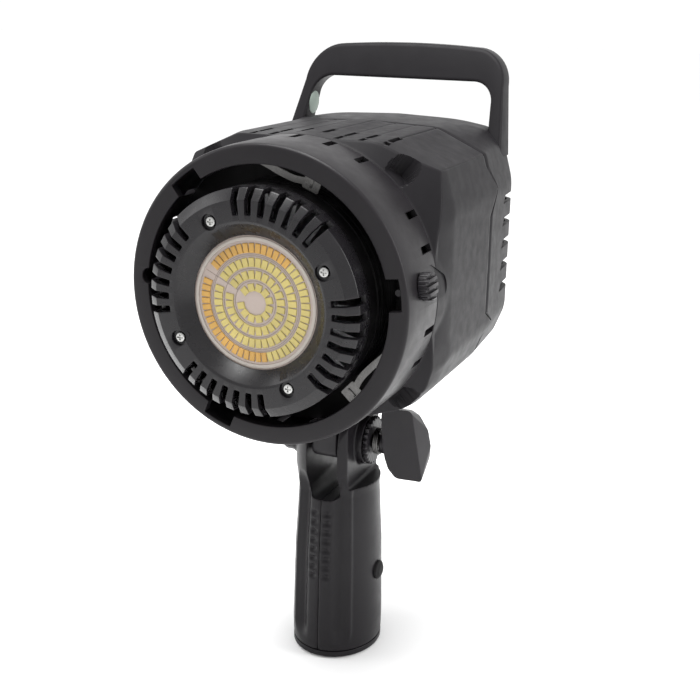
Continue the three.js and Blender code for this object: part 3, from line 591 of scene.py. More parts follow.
def knob_recess():
    """A shallow dish around the release knob, which runs on into the shell and drops a little there."""
    centres = np.array([(KNOB_Y, 0), (KNOB_Y + KNOB_TRAVEL, 0), (RECESS_END, RECESS_DROP)])
    outline = []
    for turn in np.radians(np.arange(0, 360, 7.5)):
        facing = np.array([math.cos(turn), math.sin(turn)])
        outline.append(centres[np.argmax(centres @ facing)] + RECESS_HALF * facing)
    return turn_about_lamp(prism("recess", outline, RECESS_FLOOR, DRUM_R + 9, "x"), KNOB_ANGLE)


def collar_section(inner):
    return rounded([(inner, 0, 0.45), (COLLAR_R, 0, 1.9), (DRUM_R, 9, 0), (DRUM_R, DRUM_END, 0.35),
                    (DRUM_INNER_R, DRUM_END, 0.3), (DRUM_INNER_R, 6, 0), (64.7, 4, 0), (inner, 4, 0.3)], 5)


def collar():
    lug_edges = [angle + side * LUG_HALF for angle in LUG_ANGLES for side in (-1, 1)]
    degrees = step_angles(480, lug_edges + [PIN_ANGLE - PIN_HALF, PIN_ANGLE + PIN_HALF])
    sections = []
    for degree in degrees:
        open_share = max(1 - np.clip((off_angle(degree, angle) - LUG_HALF + 0.35) / 0.7, 0, 1)
                         for angle in LUG_ANGLES)
        pin = math.sqrt(max(0, 1 - (off_angle(degree, PIN_ANGLE) / PIN_HALF) ** 2)) * PIN_DEPTH
        sections.append(collar_section(THROAT_R + open_share * LUG_DEPTH + pin))
    piece = turned_shape("front_collar_ring", np.radians(degrees), sections)
    boolean(piece, vent_cutters())
    boolean(piece, [knob_recess()])
    slot = rectangle(KNOB_Y - 3.2, KNOB_Y + KNOB_TRAVEL + 3.2, -3.2, 3.2, 3.1, 8)
    boolean(piece, [turn_about_lamp(prism("slot", slot, 60, 72, "x"), KNOB_ANGLE)])
    shade(piece, 30)
    place(piece, "lamp", "collar_grey", COLLAR, "front_collar")


# ---------- main shell
def seam_at(angles):
    """Where the seam between shell and cover runs: straight, with a pointed tip on each side crease."""
    degrees = np.degrees(angles)
    seam = np.full(degrees.shape, SEAM_Y)
    for tip, height, width in SEAM_TIPS:
        for centre in (tip, 180 - tip):
            seam = seam + height * np.clip(1 - off_angle(degrees, centre) / width, 0, 1)
    return seam


def channel_reach(angles, along):
    """Radius of the floor of the screwdriver channels that run in from the front at the four corners."""
    reach = np.full(np.broadcast(angles, along).shape, NO_REACH)
    size = np.sqrt(np.clip(CHANNEL_HALF ** 2 - np.clip(along - CHANNEL_END, 0, CHANNEL_HALF) ** 2, 0, None))
    for degree in CHANNEL_ANGLES:
        delta = angles - math.radians(degree)
        side = (DRUM_R + 4) * np.sin(delta)
        inside = (np.abs(side) < size) & (np.cos(delta) > 0)
        wall = 1.6 * np.clip(np.abs(side) - size + 1.2, 0, None) ** 2
        reach = np.where(inside, np.minimum(reach, DRUM_R + wall), reach)
    return reach


FACETS = [
    plane_through((64.2, 38.6, 41.6), (68, 57.5, 36.5), (65.8, 40.5, 32.6)),
    plane_through((64.2, 38.6, -36.6), (68, 57.5, -31.5), (65.8, 40.5, -27.6)),
]
CORNER_ANGLES = [math.degrees(math.atan2(z, x)) for x, z in BODY_CORNERS[2:8]]
CREASE_ANGLES = CORNER_ANGLES[4:]
SHELL_DEGREES = step_angles(720, CORNER_ANGLES + [180 - angle for angle in CORNER_ANGLES], 0.15, 4)


def shell_radius(angles, along):
    squarish = body_radius(angles, along)
    for normal, distance in FACETS:
        squarish = soft_min(squarish, plane_reach(angles, along, normal, distance), 0.5)
    cone = DRUM_R + (along - SHELL_START - 0.6) * CONE_SLOPE
    squarish = soft_min(squarish, cone, 0.6)
    squarish = soft_min(squarish, channel_reach(angles, along), 0.6)
    return soft_max(squarish, DRUM_R + 0 * along, 0.4)


def crease_depth(angles, along):
    """A fine line pressed in along the two upper shoulder creases, behind the channels."""
    degrees = np.degrees(np.arctan2(np.sin(angles), np.abs(np.cos(angles))))
    near = 0 * degrees
    for crease in CREASE_ANGLES:
        near = np.maximum(near, np.clip(1 - np.abs(degrees - crease) / 0.42, 0, 1))
    return near * 0.28 * np.clip((along - 52) / 3, 0, 1)


def groove_depth(x, along):
    """Shallow grooves that run from the top slits back to the seam."""
    total = 0 * x
    for column in SLIT_COLUMNS:
        total = np.maximum(total, np.clip(1 - np.abs(x - column), 0, 1) * 0.3)
    return total * np.clip((along - 42) / 3, 0, 1)


def seam_round(distance):
    """How far the edge at the seam is drawn in, for a distance from that edge."""
    return 0.7 * np.clip(1 - distance / 1.1, 0, 1) ** 2


def main_shell():
    angles = np.radians(SHELL_DEGREES)[:, None]
    share = np.concatenate([np.linspace(0, 0.22, 56)[:-1], np.linspace(0.22, 1, 44)])[None, :]
    end = seam_at(angles)
    along = SHELL_START + share * (end - SHELL_START)
    outer = shell_radius(angles, along)
    x, z = outer * np.cos(angles), outer * np.sin(angles)
    on_top = (z > 60) & (np.abs(x) < 42)
    outer = outer - np.where(on_top, groove_depth(x, along), 0)
    outer = outer - crease_depth(angles, along)
    outer = outer - 0.3 * np.clip(1 - (along - SHELL_START) / 0.7, 0, 1) ** 2
    outer = outer - seam_round(end - along)
    outside = np.stack([outer, along], -1)
    inside = np.stack([outer - WALL, along], -1)[:, ::-1]
    piece = turned_shape("main_shell_body", angles[:, 0], np.concatenate([outside, inside], 1))
    cutters = []
    for column in SLIT_COLUMNS:
        across = (column - SLIT_HALF, column + SLIT_HALF)
        cutters.append(block("slit", across, REAR_SLIT, (54, 80)))
        start = FRONT_SLIT_STARTS.get(round(abs(column), 1))
        if start:
            cutters.append(block("slit", across, (start, FRONT_SLIT_END), (54, 80)))
    cutters.append(block("arm_hole", (-7.6, 7.6), (65.4, 108.6), (-80, -55)))
    boolean(piece, cutters)
    boolean(piece, [knob_recess()])
    shade(piece, 30)
    place(piece, "lamp", "housing_grey", HOUSING, "main_shell")


# ---------- rear cover
def cover_radius(angles, along):
    """The body's section, with fuller upper corners, tapered sides and an edge rounded over at the back."""
    fill = 4.4 * np.clip((along - 113) / 32, 0, 1)
    corners = BODY_CORNERS[:7] + [(SHOULDER[0], SHOULDER[1] + fill)] + BODY_CORNERS[7:]
    taper = 3.2 * np.clip((along - 113) / 45, 0, 1)
    past = np.clip(along - (COVER_END - COVER_ROLL), 0, COVER_ROLL)
    roll = COVER_ROLL - np.sqrt(np.clip(COVER_ROLL ** 2 - past ** 2, 0, None))
    return section_radius(angles, corners, lambda facing: roll + taper * facing)


def rectangle_radius(angles, half_x, half_z):
    reach_x = half_x / np.maximum(np.abs(np.cos(angles)), 1e-3)
    reach_z = half_z / np.maximum(np.abs(np.sin(angles)), 1e-3)
    return soft_min(reach_x, reach_z, 4.0)


def louvre_cutters():
    cutters = []
    for row in range(5):
        z = LOUVRE_TOP - row * LOUVRE_PITCH
        bottom, top = z - LOUVRE_HALF, z + LOUVRE_HALF
        wedge = [(141, bottom), (182, bottom), (182, top), (145, top)]
        for low, high in ((-80, -51), (51, 80)):
            cutters.append(prism("louvre", wedge, low, high, "x"))
    return cutters


def rear_cover():
    angles = np.radians(SHELL_DEGREES)[:, None]
    start = seam_at(angles) + SEAM_GAP
    bend_start = COVER_END - COVER_ROLL
    straight = start + np.linspace(0, 1, 30)[None, :] * (bend_start - start)
    bend = bend_start + COVER_ROLL * np.sin(np.linspace(0, math.pi / 2, 12)[1:])[None, :] + 0 * angles
    along = np.concatenate([straight, bend], 1)
    outer = cover_radius(angles, along) - seam_round(along - start)
    opening = rectangle_radius(angles, 46, 38)
    last = outer[:, -1:]
    back_radii = np.concatenate([last + (opening - last) * s for s in (0.25, 0.5, 0.75, 0.97, 1.0, 1.0)], 1)
    back_along = np.broadcast_to([COVER_END] * 4 + [COVER_END - 0.5, COVER_INNER_END], back_radii.shape)
    inner_along = np.minimum(along, COVER_INNER_END)
    inner = np.minimum(outer, cover_radius(angles, inner_along)) - WALL
    section = np.concatenate([np.stack([outer, along], -1), np.stack([back_radii, back_along], -1),
                              np.stack([inner, inner_along], -1)[:, ::-1]], 1)
    piece = turned_shape("rear_cover_body", angles[:, 0], section)
    boolean(piece, louvre_cutters())
    shade(piece, 30)
    place(piece, "lamp", "housing_grey", HOUSING, "rear_cover")


# ---------- carrying handle
def handle_paths():
    """Matched outer and inner edge points of the handle in the X-Z plane, from the right foot to the left."""
    foot, corner_out, corner_in = 49.0, 19.0, 11.0
    top_out, top_in = 102.1, 85.2
    lean = 8.1 / 52

    def outer_x(z):
        return 61.7 - lean * (z - 50)

    def inner_x(z):
        return outer_x(z) - (8 - 3.1 * np.clip((z - 50) / 52, 0, 1))

    def path(edge_x, top, corner, crown):
        bend_z = top - corner
        bend_x = edge_x(bend_z)
        leg_z = foot + np.linspace(0, 1, 14)[:-1] * (top - corner - foot)
        points = list(zip(edge_x(leg_z), leg_z))
        for angle in np.radians(np.linspace(0, 90, 15)):
            points.append((bend_x - corner + corner * math.cos(angle), bend_z + corner * math.sin(angle)))
        points = np.array(points)
        bar = np.linspace(1, 0, 10)[1:, None]
        top_edge = np.concatenate([points[-1:, :1] * bar, top + crown * (1 - bar ** 2)], 1)
        half = np.concatenate([points, top_edge])
        return np.concatenate([half, half[-2::-1] * np.array([-1, 1])])

    return path(outer_x, top_out, corner_out, 1.3), path(inner_x, top_in, corner_in, 0)


def handle_y(z, share):
    """Leaning front and rear faces of the handle at a height, mixed by share."""
    front = 149 + 0.5 * (z - 60)
    rear = 165.2 + 0.35 * (z - 60)
    return front + share * (rear - front)


def handle_section(width):
    """(share across, share deep) points of the handle's section, with its four edges rounded."""
    across, deep = HANDLE_EDGE / width, HANDLE_EDGE / HANDLE_DEPTH
    points = []
    for u, v, first in ((0, 0, 180), (1, 0, 270), (1, 1, 0), (0, 1, 90)):
        centre = (across if u == 0 else 1 - across, deep if v == 0 else 1 - deep)
        for angle in np.radians(np.linspace(first, first + 90, 6)):
            points.append((centre[0] + across * math.cos(angle), centre[1] + deep * math.sin(angle)))
    return np.array(points)


def carry_handle():
    outer, inner = handle_paths()
    widths = np.linalg.norm(outer - inner, axis=1)
    rows = []
    for (outer_x, outer_z), (inner_x, inner_z), width in zip(outer, inner, widths):
        section = handle_section(width)
        x = inner_x + section[:, 0] * (outer_x - inner_x)
        z = inner_z + section[:, 0] * (outer_z - inner_z)
        rows.append(np.stack([x, handle_y(z, section[:, 1]), z], -1))
    rows = np.array(rows)
    piece = new_piece("carry_handle_bow", rows.reshape(-1, 3), tube_faces(*rows.shape[:2]), sharp=60)
    place(piece, "lamp", "housing_grey", HOUSING, "carry_handle")


# ---------- front bezel, LED board, springs
def lamp_point(radius, degrees):
    return radius * math.cos(math.radians(degrees)), radius * math.sin(math.radians(degrees))


def vent_bezel():
    profile = rounded([(29.4, -7.7, 0.25), (35.6, -13.7, 1.0), (36.6, -14.2, 0.8), (45.6, -14.2, 0.5),
                       (50.4, -10.6, 0.9), (50.4, 0, 0.3), (48.2, 0, 0.3), (48.2, -9.0, 0.5),
                       (44.4, -10.8, 0.5), (37.4, -10.8, 0.5), (35.8, -7.7, 0.3)], 5)
    piece = turned("vent_bezel_ring", profile, steps=288)
    centres = [lamp_point(BEZEL_SCREW_R, angle) for angle in BEZEL_SCREW_ANGLES]
    boolean(piece, [rod("boss", 5.0, -13.0, -10.2, centre=centre) for centre in centres], "UNION")
    outline = rounded([(39, -1.5, 0.6), (58, -1.9, 0), (58, 1.9, 0), (39, 1.5, 0.6)], 4)
    cutters = []
    for angle, centre in zip(BEZEL_SCREW_ANGLES, centres):
        cutters.append(rod("counterbore", 3.6, -20, -11.9, centre=centre))
        for slot in range(SLOTS_PER_QUADRANT):
            turn = angle + 45 + (slot - (SLOTS_PER_QUADRANT - 1) / 2) * SLOT_TURN
            cutters.append(turn_about_lamp(prism("slot", outline, -20, -3.5), turn))
    boolean(piece, cutters)
    bevel(piece, 0.4, 2, angle=42, sharp=50)
    place(piece, "lamp", "bezel_black", BEZEL, "vent_bezel")


def cross_head(name, radius, low, high, axis, origin, centre):
    """A pan-head screw's head with a cross recess in its low end."""
    head = rod(name, radius, low, high, axis, origin, centre)
    bevel(head, min(0.6, (high - low) * 0.45), 4)
    for half_u, half_v in ((radius * 0.62, 0.36), (0.36, radius * 0.62)):
        bar = rectangle(centre[0] - half_u, centre[0] + half_u, centre[1] - half_v, centre[1] + half_v)
        boolean(head, [prism("cross", bar, low - 1, low + 0.75, axis, origin)])
    shade(head, 30)
    return head


def bezel_screws():
    for i, angle in enumerate(BEZEL_SCREW_ANGLES, 1):
        centre = lamp_point(BEZEL_SCREW_R, angle)
        head = cross_head(f"bezel_screw_head_{i}", 2.3, -13.1, -11.95, "y", LAMP, centre)
        place(head, "lamp", "screw_steel", STEEL, f"bezel_screw_{i}")


def chip(radius, degrees, deep, wide):
    """Corner points of one LED chip, a little narrower at its front."""
    points = []
    for y, shrink in ((LED_FRONT + 0.1, 0.0), (LED_FRONT - 0.45, 0.0), (LED_FRONT - 0.65, 0.25)):
        for u, v in ((-1, -1), (1, -1), (1, 1), (-1, 1)):
            out, side = radius + u * (deep / 2 - shrink), v * (wide / 2 - shrink)
            cos, sin = math.cos(math.radians(degrees)), math.sin(math.radians(degrees))
            points.append((out * cos - side * sin, y, out * sin + side * cos))
    return points


def led_chips(name, look, wanted):
    points, faces = [], []
    for ring, (radius, count, deep, wide) in enumerate(LED_RINGS):
        for i in range(count):
            degrees = 360 * (i + 0.5) / count
            off = off_angle(degrees, LED_GAP_ANGLE)
            if radius * math.radians(off) < 2.2 or not wanted(ring, degrees):
                continue
            base = len(points)
            points += chip(radius, degrees, deep, wide)
            for layer in (0, 4):
                for k in range(4):
                    a, b = base + layer + k, base + layer + (k + 1) % 4
                    faces.append((a, b, b + 4, a + 4))
            faces.append([base + 3 - k for k in range(4)])
            faces.append([base + 8 + k for k in range(4)])
    piece = new_piece(name, points, faces, sharp=30)
    place(piece, "lamp", "led_white", look)


def is_amber(ring, degrees):
    return ring == 3 and 48 < degrees < 282


def led_board():
    disc = turned("led_board_disc", rounded([(0, -5.8, 0), (33.2, -5.8, 0.2), (33.2, LED_FRONT, 0.2),
                                             (0, LED_FRONT, 0)], 3))
    place(disc, "lamp", "led_white", LED_BOARD, "led_board")
    rim_profile = rounded([(27.6, -7.3, 0), (29.1, -7.3, 0), (29.1, -8.0, 0.2), (27.6, -8.0, 0.2)], 3)
    place(turned("led_board_rim", rim_profile, steps=160), "lamp", "led_white", WHITE)
    traces = []
    for radius in (9.75, 15.25, 20.8, 21.5):
        traces.append(turned("trace", rectangle(radius - 0.14, radius + 0.14, -7.3, -7.5), steps=160))
    lane = prism("lane", rectangle(9.5, 27.0, -0.9, -0.7), -7.5, -7.3)
    traces.append(turn_about_lamp(lane, LED_GAP_ANGLE))
    place(join_pieces(traces, "led_board_traces"), "lamp", "led_white", LED_TRACE)
    led_chips("led_chips_amber", LED_AMBER, is_amber)
    led_chips("led_chips_pale", LED_PALE, lambda ring, degrees: not is_amber(ring, degrees))


def smooth_curve(points):
    """A Catmull-Rom curve through points."""
    points = np.asarray(points, float)
    padded = np.concatenate([2 * points[:1] - points[1:2], points, 2 * points[-1:] - points[-2:-1]])
    curve = []
    for a, b, c, d in zip(padded, padded[1:], padded[2:], padded[3:]):
        square, cube = 2 * a - 5 * b + 4 * c - d, 3 * b - a - 3 * c + d
        for t in np.linspace(0, 1, 8, endpoint=False):
            curve.append(0.5 * (2 * b + (c - a) * t + square * t * t + cube * t ** 3))
    return np.array(curve + [points[-1]])


def lug_springs():
    path = smooth_curve(SPRING_PATH)
    turn, radius = np.radians(path[:, 0]), path[:, 1]
    middle = np.stack([radius * np.cos(turn), radius * np.sin(turn)], -1)
    run = np.gradient(middle, axis=0)
    side = np.stack([-run[:, 1], run[:, 0]], -1) / np.linalg.norm(run, axis=1)[:, None]
    strip = np.concatenate([middle + side * 1.5, (middle - side * 1.5)[::-1]])
    for i, base in enumerate(SPRING_ANGLES, 1):
        blade = prism("blade", strip, 4.6, 5.4)
        pad = prism("pad", rectangle(52.4, 59.4, -4, 4, 0.8, 4), 4.6, 5.4)
        boolean(blade, [pad], "UNION")
        rib = block("rib", (53.6, 58.2), (4.1, 4.7), (-0.5, 0.5), round_edge=0.2)
        piece = join_pieces([blade, rib], f"lug_spring_blade_{i}")
        turn_about_lamp(piece, base)
        place(piece, "lamp", "spring_steel", SPRING, f"lug_spring_{i}")


def lamp_barrel():
    outer = [(50.4, 0.4), (50.4, 4)]
    for y in (8, 13, 18, 23):
        outer += [(50.4, y), (49.9, y + 0.4), (49.9, y + 1.2), (50.4, y + 1.6)]
    profile = outer + [(50.4, 30.7), (48.2, 30.7), (48.2, 0.4)]
    tube = turned("lamp_barrel_tube", profile, steps=160, sharp=30)
    place(tube, "lamp", "black_plastic", INNER, "lamp_barrel")


# ---------- release knob
def release_knob():
    cap = rod("release_knob_cap", 6.2, RECESS_FLOOR + 0.5, 73.2, "x", LAMP, (KNOB_Y, 0), 64)
    bevel(cap, 0.7, 3)
    boolean(cap, [block("groove", (71.7, 80), (KNOB_Y - 8, KNOB_Y + 8), (z - 0.75, z + 0.75))
                  for z in (-4.4, -1.5, 1.5, 4.4)])
    for step in range(20):
        u, v = 6.35 * math.cos(math.pi * step / 10), 6.35 * math.sin(math.pi * step / 10)
        boolean(cap, [rod("flute", 0.45, 68.5, 80, "x", LAMP, (KNOB_Y + u, v), 12)])
    bevel(cap, 0.12, 1, angle=50, sharp=30)
    stem = rod("stem", 2.8, 60.5, 68, "x", LAMP, (KNOB_Y, 0), 32)
    carrier = block("carrier", (60.2, 63.6), (KNOB_Y - 6, KNOB_Y + 4), (-4, 4), round_edge=0.4)
    pin = rod("pin", 1.5, 4.6, KNOB_Y - 5, "y", LAMP, (61.8, 0), 24)
    piece = turn_about_lamp(join_pieces([cap, stem, carrier, pin], "release_knob_grooved"), KNOB_ANGLE)
    place(piece, "release", "black_plastic", KNOB, "release_knob")


# ---------- rear controls
def control_panel():
    plate = prism("control_panel_plate", rectangle(-45.7, 45.7, -37.7, 37.7, 3.7), 165, COVER_END)
    bevel(plate, 0.5, 3, angle=60)
    cutters = [prism("recess", rectangle(-20.3, 20.3, 9.7, 30.3, 1.2), 166.1, 172),
               prism("rocker_hole", rectangle(-36.3, -15.7, -35.3, -24.7, 0.6), 160, 172),
               prism("inlet_hole", rectangle(-1.3, 31.3, -36.3, -21.7, 1.5), 160, 172)]
    cutters += [rod("dial_hole", 3.4, 160, 172, centre=centre) for centre in DIAL_CENTRES.values()]
    cutters += [rod("button_hole", 4.3, 160, 172, centre=centre) for centre in BUTTON_CENTRES]
    boolean(plate, cutters)
    bevel(plate, 0.18, 2, angle=60, sharp=35)
    place(plate, "lamp", "black_plastic", INNER, "control_panel")


def dial_scales():
    """Short radial ticks around both dials, a little longer at the ends and the middle."""
    marks = []
    inner, half = 11.2, 0.22
    for centre in DIAL_CENTRES.values():
        for step in range(11):
            turn = math.radians(90 - DIAL_SWEEP + 2 * DIAL_SWEEP * step / 10)
            outer = 13.6 if step % 5 else 14.2
            cos, sin = math.cos(turn), math.sin(turn)
            corners = [(centre[0] + r * cos - w * sin, centre[1] + r * sin + w * cos)
                       for r, w in ((inner, -half), (outer, -half), (outer, half), (inner, half))]
            marks.append(prism("tick", corners, COVER_END - 0.05, COVER_END + 0.08))
    place(join_pieces(marks, "dial_scale_marks"), "lamp", "black_plastic", MARK)


def display_window():
    glass = prism("display_glass", rectangle(-20, 20, 10, 30, 1.0), 166.5, 167.8)
    place(bevel(glass, 0.4, 3, angle=60), "lamp", "display_glass", GLOSS, "display_window")


def dial_section(flute):
    return rounded([(0, 168.8, 0), (9.8, 168.8, 0.3), (10, 170.4, 0.5), (9.7 - flute, 171.2, 0.3),
                    (9.1 - flute, 178.2, 0.2), (8.2 - flute, 179, 0.6), (6.6, 178.6, 0.5), (0, 178.6, 0)], 3)


def dial(body, x, z):
    degrees = np.radians(np.arange(0, 360, 1.5))
    flutes = 0.35 * np.abs(np.sin(degrees * 18))
    piece = turned_shape(f"{body}_dial_knurled", degrees, [dial_section(flute) for flute in flutes])
    piece.data.transform(Matrix.Translation(Vector((x, 0, z)) * MM))
    boolean(piece, [block("pointer", (x - 0.6, x + 0.6), (177.6, 182), (z + 3.4, z + 12))])
    shade(piece, 30)
    place(piece, body, "black_plastic", KNOB, f"{body}_dial")
    pointer = block(f"{body}_dial_pointer", (x - 0.45, x + 0.45), (177.4, 178.2), (z + 3.6, z + 7.9),
                    round_edge=0.15)
    place(pointer, body, "black_plastic", MARK)


def push_button(index, centre):
    profile = rounded([(0, 164, 0), (4, 164, 0.3), (4, 169.3, 0.5), (3.2, 169.6, 0.3), (2.2, 169.2, 0.8),
                       (0, 169.1, 0)], 4)
    piece = turned(f"push_button_cap_{index}", profile, centre=centre, steps=64)
    place(piece, f"button_{index}", "rubber_black", RUBBER, f"push_button_{index}")


def power_rocker():
    x, z = ROCKER_CENTRE
    lip = prism("rocker_lip", rectangle(-37.4, -14.6, -36.4, -23.6, 1.2), 168.3, 169.3)
    hole = prism("hole", rectangle(-34.3, -17.7, -34.3, -25.7, 0.6), 160, 175)
    bevel(boolean(lip, [hole]), 0.25, 3, angle=60)
    place(lip, "lamp", "black_plastic", GLOSS, "rocker_bezel")
    curve = [(x + u, 170.2 - 1.1 * math.cos(u / 8 * math.pi / 2) ** 2) for u in np.linspace(-8, 8, 17)]
    outline = [(x - 8, 165.8), (x + 8, 165.8)] + curve[::-1]
    key = prism("power_rocker_key", outline, z - 4, z + 4, "z")
    bevel(key, 0.35, 3, angle=50)
    place(key, "rocker", "black_plastic", GLOSS, "power_rocker")
    bar = block("rocker_on_mark", (x - 5.2, x - 4.9), (169.55, 169.72), (z - 1.4, z + 1.4))
    place(bar, "rocker", "black_plastic", MARK)


def power_inlet():
    body = prism("power_inlet_socket", rectangle(-2.5, 32.5, -37.5, -20.5, 2.0), 168.3, 169.5)
    sleeve = prism("sleeve", rectangle(-0.9, 30.9, -35.9, -22.1, 1.6), 154, 168.5)
    boolean(body, [sleeve], "UNION")
    boolean(body, [prism("cavity", rectangle(2, 28, -34, -24, 2.4), 156, 175)])
    bevel(body, 0.35, 3, angle=60)
    place(body, "lamp", "black_plastic", RUBBER, "power_inlet")
    blades = [block("pin", (u - 1, u + 1), (157, 166.5), (-30.4 + lift, -27.2 + lift), round_edge=0.4)
              for u, lift in ((8, 0), (15, 1.4), (22, 0))]
    place(join_pieces(blades, "power_inlet_pins"), "lamp", "black_plastic", BRASS)


# ---------- tilt arm
def tilt_arm():
    tilt_y, tilt_z = TILT[1] - LAMP[1], TILT[2] - LAMP[2]
    side = rounded([(tilt_y - 21, -58, 0), (tilt_y - 21, tilt_z - 6, 5), (tilt_y + 21, tilt_z - 6, 5),
                    (tilt_y + 21, -58, 0)], 8)
    arm = bevel(prism("tilt_arm_tongue", side, -7, 7, "x"), 1.2, 3, angle=60)
    boolean(arm, [block("flange", (-18, 18), (60, 112), (-64.4, -58.2), round_edge=0.8)], "UNION")
    boolean(arm, [rod("bore", BORE_R, -20, 20, "x", LAMP, (tilt_y, tilt_z))])
    for x in (-3.6, 3.6):
        boolean(arm, [rod("dimple", 1.6, tilt_y - 22, tilt_y - 20.4, "y", LAMP, (x, -79), 24)])
    shade(arm, 32)
    place(arm, "lamp", "black_plastic", ARM, "tilt_arm")


# ---------- pistol grip
def bump_shape(value, centre, half):
    """A smooth hump of height 1 about centre, zero beyond half."""
    return np.cos(np.clip((value - centre) / half, -1, 1) * math.pi / 2) ** 2


def grip_radius(degrees, height):
    """Radius before the grip is made an oval. Its front is at 270 degrees, and left and right match."""
    base = np.interp(height, *zip(*GRIP_RADII))
    off_front = off_angle(degrees, 270)
    off_middle = np.minimum(off_front, 180 - off_front)
    fade = np.clip((height - 8) / 8, 0, 1) * np.clip((104 - height) / 8, 0, 1)
    flute = 2.3 * bump_shape(off_middle, 90 - FLUTE_ANGLE, 13) * fade
    ridge = 0.9 * bump_shape(off_middle, 90 - RIDGE_ANGLE, 5) * fade
    wave = 0.5 - 0.5 * np.cos((height - RIB_SPAN[0]) / RIB_PITCH * 2 * math.pi)
    in_span = (height > RIB_SPAN[0]) & (height < RIB_SPAN[1])
    ribs = 1.2 * wave * bump_shape(off_front, 9.5, 8.5) * in_span
    seam = 0.55 * np.clip(1 - np.abs(np.sin(np.radians(off_middle)) * base) / 0.75, 0, 1)
    return base - flute + ridge - ribs - seam


def grip_blank():
    """The oval bar of the grip, with its flutes, ridges, ribs and the groove of its seam."""
    degrees = step_angles(300, [90, 270], 0.25, 12)
    lowest, highest = GRIP_RADII[0][0], GRIP_RADII[-1][0]
    heights = np.concatenate([np.linspace(lowest, 42, 20), np.linspace(42, 90, 110)[1:],
                              np.linspace(90, highest, 24)[1:]])
    radii = grip_radius(degrees[:, None], heights[None, :])
    sections = np.stack([radii, np.broadcast_to(heights, radii.shape)], -1)
    ends = [np.broadcast_to([0, height], (len(degrees), 1, 2)) for height in (lowest, highest)]
    sections = np.concatenate([ends[0], sections, ends[1]], 1)
    blank = turned_shape("grip_body", np.radians(degrees), sections, "z", PART)
    blank.data.transform(Matrix.Diagonal((1, GRIP_DEPTH_RATIO, 1, 1)))
    return blank


def grip_body():
    """Both halves of the grip in one: the blank with its fork, bosses and bores."""
    body = grip_blank()
    above = block("above", (-60, 60), (-60, 60), (TILT_Z, 200), PART)
    boolean(above, [rod("round_top", 23.6, -61, 61, "x", TILT, count=96)])
    boolean(body, [above])
    slot = rounded([(-FORK_HALF, FORK_FLOOR, 6.0), (FORK_HALF, FORK_FLOOR, 3.0), (FORK_HALF, 160, 0),
                    (-FORK_HALF, 160, 0)], 6)
    shoulder = rounded([(SHOULDER_X, SHOULDER_Z, 1.6), (60, SHOULDER_Z, 0), (60, 200, 0),
                        (SHOULDER_X, 200, 0)], 5)
    boolean(body, [prism("slot", slot, -60, 60, "y", PART), prism("shoulder", shoulder, -60, 60, "y", PART)])
    bosses = [rod("boss", 13, low, high, "x", TILT, count=96) for low, high in ((12, 17), (-22.9, -16))]
    boolean(body, bosses, "UNION")
    cutters = [rod("bore", BORE_R, -60, 60, "x", TILT), rod("socket", 9.3, -5, 12.4, "z", PART)]
    cutters += [rod("counterbore", 3.0, -40, -18.3, "x", PART, (0, z)) for z in SCREW_HEIGHTS]
    cutters.append(rod("plug_seat", 5.3, 22.4, 40, "x", PART, (0, PLUG_Z)))
    boolean(body, cutters)
    return soften(body, 0.5, 2)


def half_of(body, side, name):
    """A copy of the body cut down to one side of the seam, with the cut closed."""
    work = bmesh.new()
    work.from_mesh(body.data)
    geometry = work.verts[:] + work.edges[:] + work.faces[:]
    cut = bmesh.ops.bisect_plane(work, geom=geometry, plane_co=(side * 0.15 * MM, 0, 0),
                                 plane_no=(-side, 0, 0), clear_outer=True)
    edges = [item for item in cut["geom_cut"] if isinstance(item, bmesh.types.BMEdge)]
    bmesh.ops.holes_fill(work, edges=edges, sides=0)
    bmesh.ops.recalc_face_normals(work, faces=work.faces)
    return piece_from(work, name, 60)


def pistol_grip():
    body = grip_body()
    for side, word in ((-1, "left"), (1, "right")):
        half = half_of(body, side, f"grip_half_{word}")
        place(half, "grip", "grip_black", GRIP, f"grip_shell_{word}")
    discard(body)


def grip_foot():
    profile = rounded([(0, 0, 0), (21.8, 0, 0.9), (23.3, 1.3, 0.6), (23.3, 4, 0.4), (0, 4, 0)], 4)
    foot = turned("grip_foot_plate", profile, "z", PART, 160, stretch=GRIP_DEPTH_RATIO)
    boolean(foot, [rod("hex", 6.3, -5, 10, "z", PART, count=6)])
    boolean(foot, [turned("ring", rectangle(15.2, 16.4, -1, 0.5), "z", PART, 96)])
    shade(foot, 32)
    place(foot, "grip", "grip_black", GRIP, "grip_base")


def tripod_bushing():
    hexagon = rod("tripod_bushing_hex", 6, 0, 12, "z", PART, count=6)
    bevel(hexagon, 0.4, 2)
    boolean(hexagon, [rod("flange", 9, 4.4, 6.3, "z", PART)], "UNION")
    pitch = 1.27
    thread = [(0, -1), (3.2, -1)]
    for turn in range(8):
        thread += [(2.6, -1 + pitch * (turn + 0.5)), (3.2, -1 + pitch * (turn + 1))]
    boolean(hexagon, [turned("thread", thread + [(0, thread[-1][1])], "z", PART, 48)])
    shade(hexagon, 25)
    place(hexagon, "grip", "brass", BRASS, "thread_bushing")


def grip_screws():
    for i, z in enumerate(SCREW_HEIGHTS, 1):
        head = cross_head(f"grip_screw_head_{i}", 2.6, -20.4, -18.4, "x", PART, (0, z))
        place(head, "grip", "screw_steel", STEEL, f"grip_screw_{i}")


def side_plug():
    profile = rounded([(0, 22.6, 0), (5, 22.6, 0), (5, 23.9, 0.7), (3.1, 25.1, 0.9), (0, 25.3, 0)], 5)
    plug = turned("grip_plug_cap", profile, "x", PART, 64, centre=(0, PLUG_Z))
    place(plug, "grip", "rubber_black", RUBBER, "grip_plug")


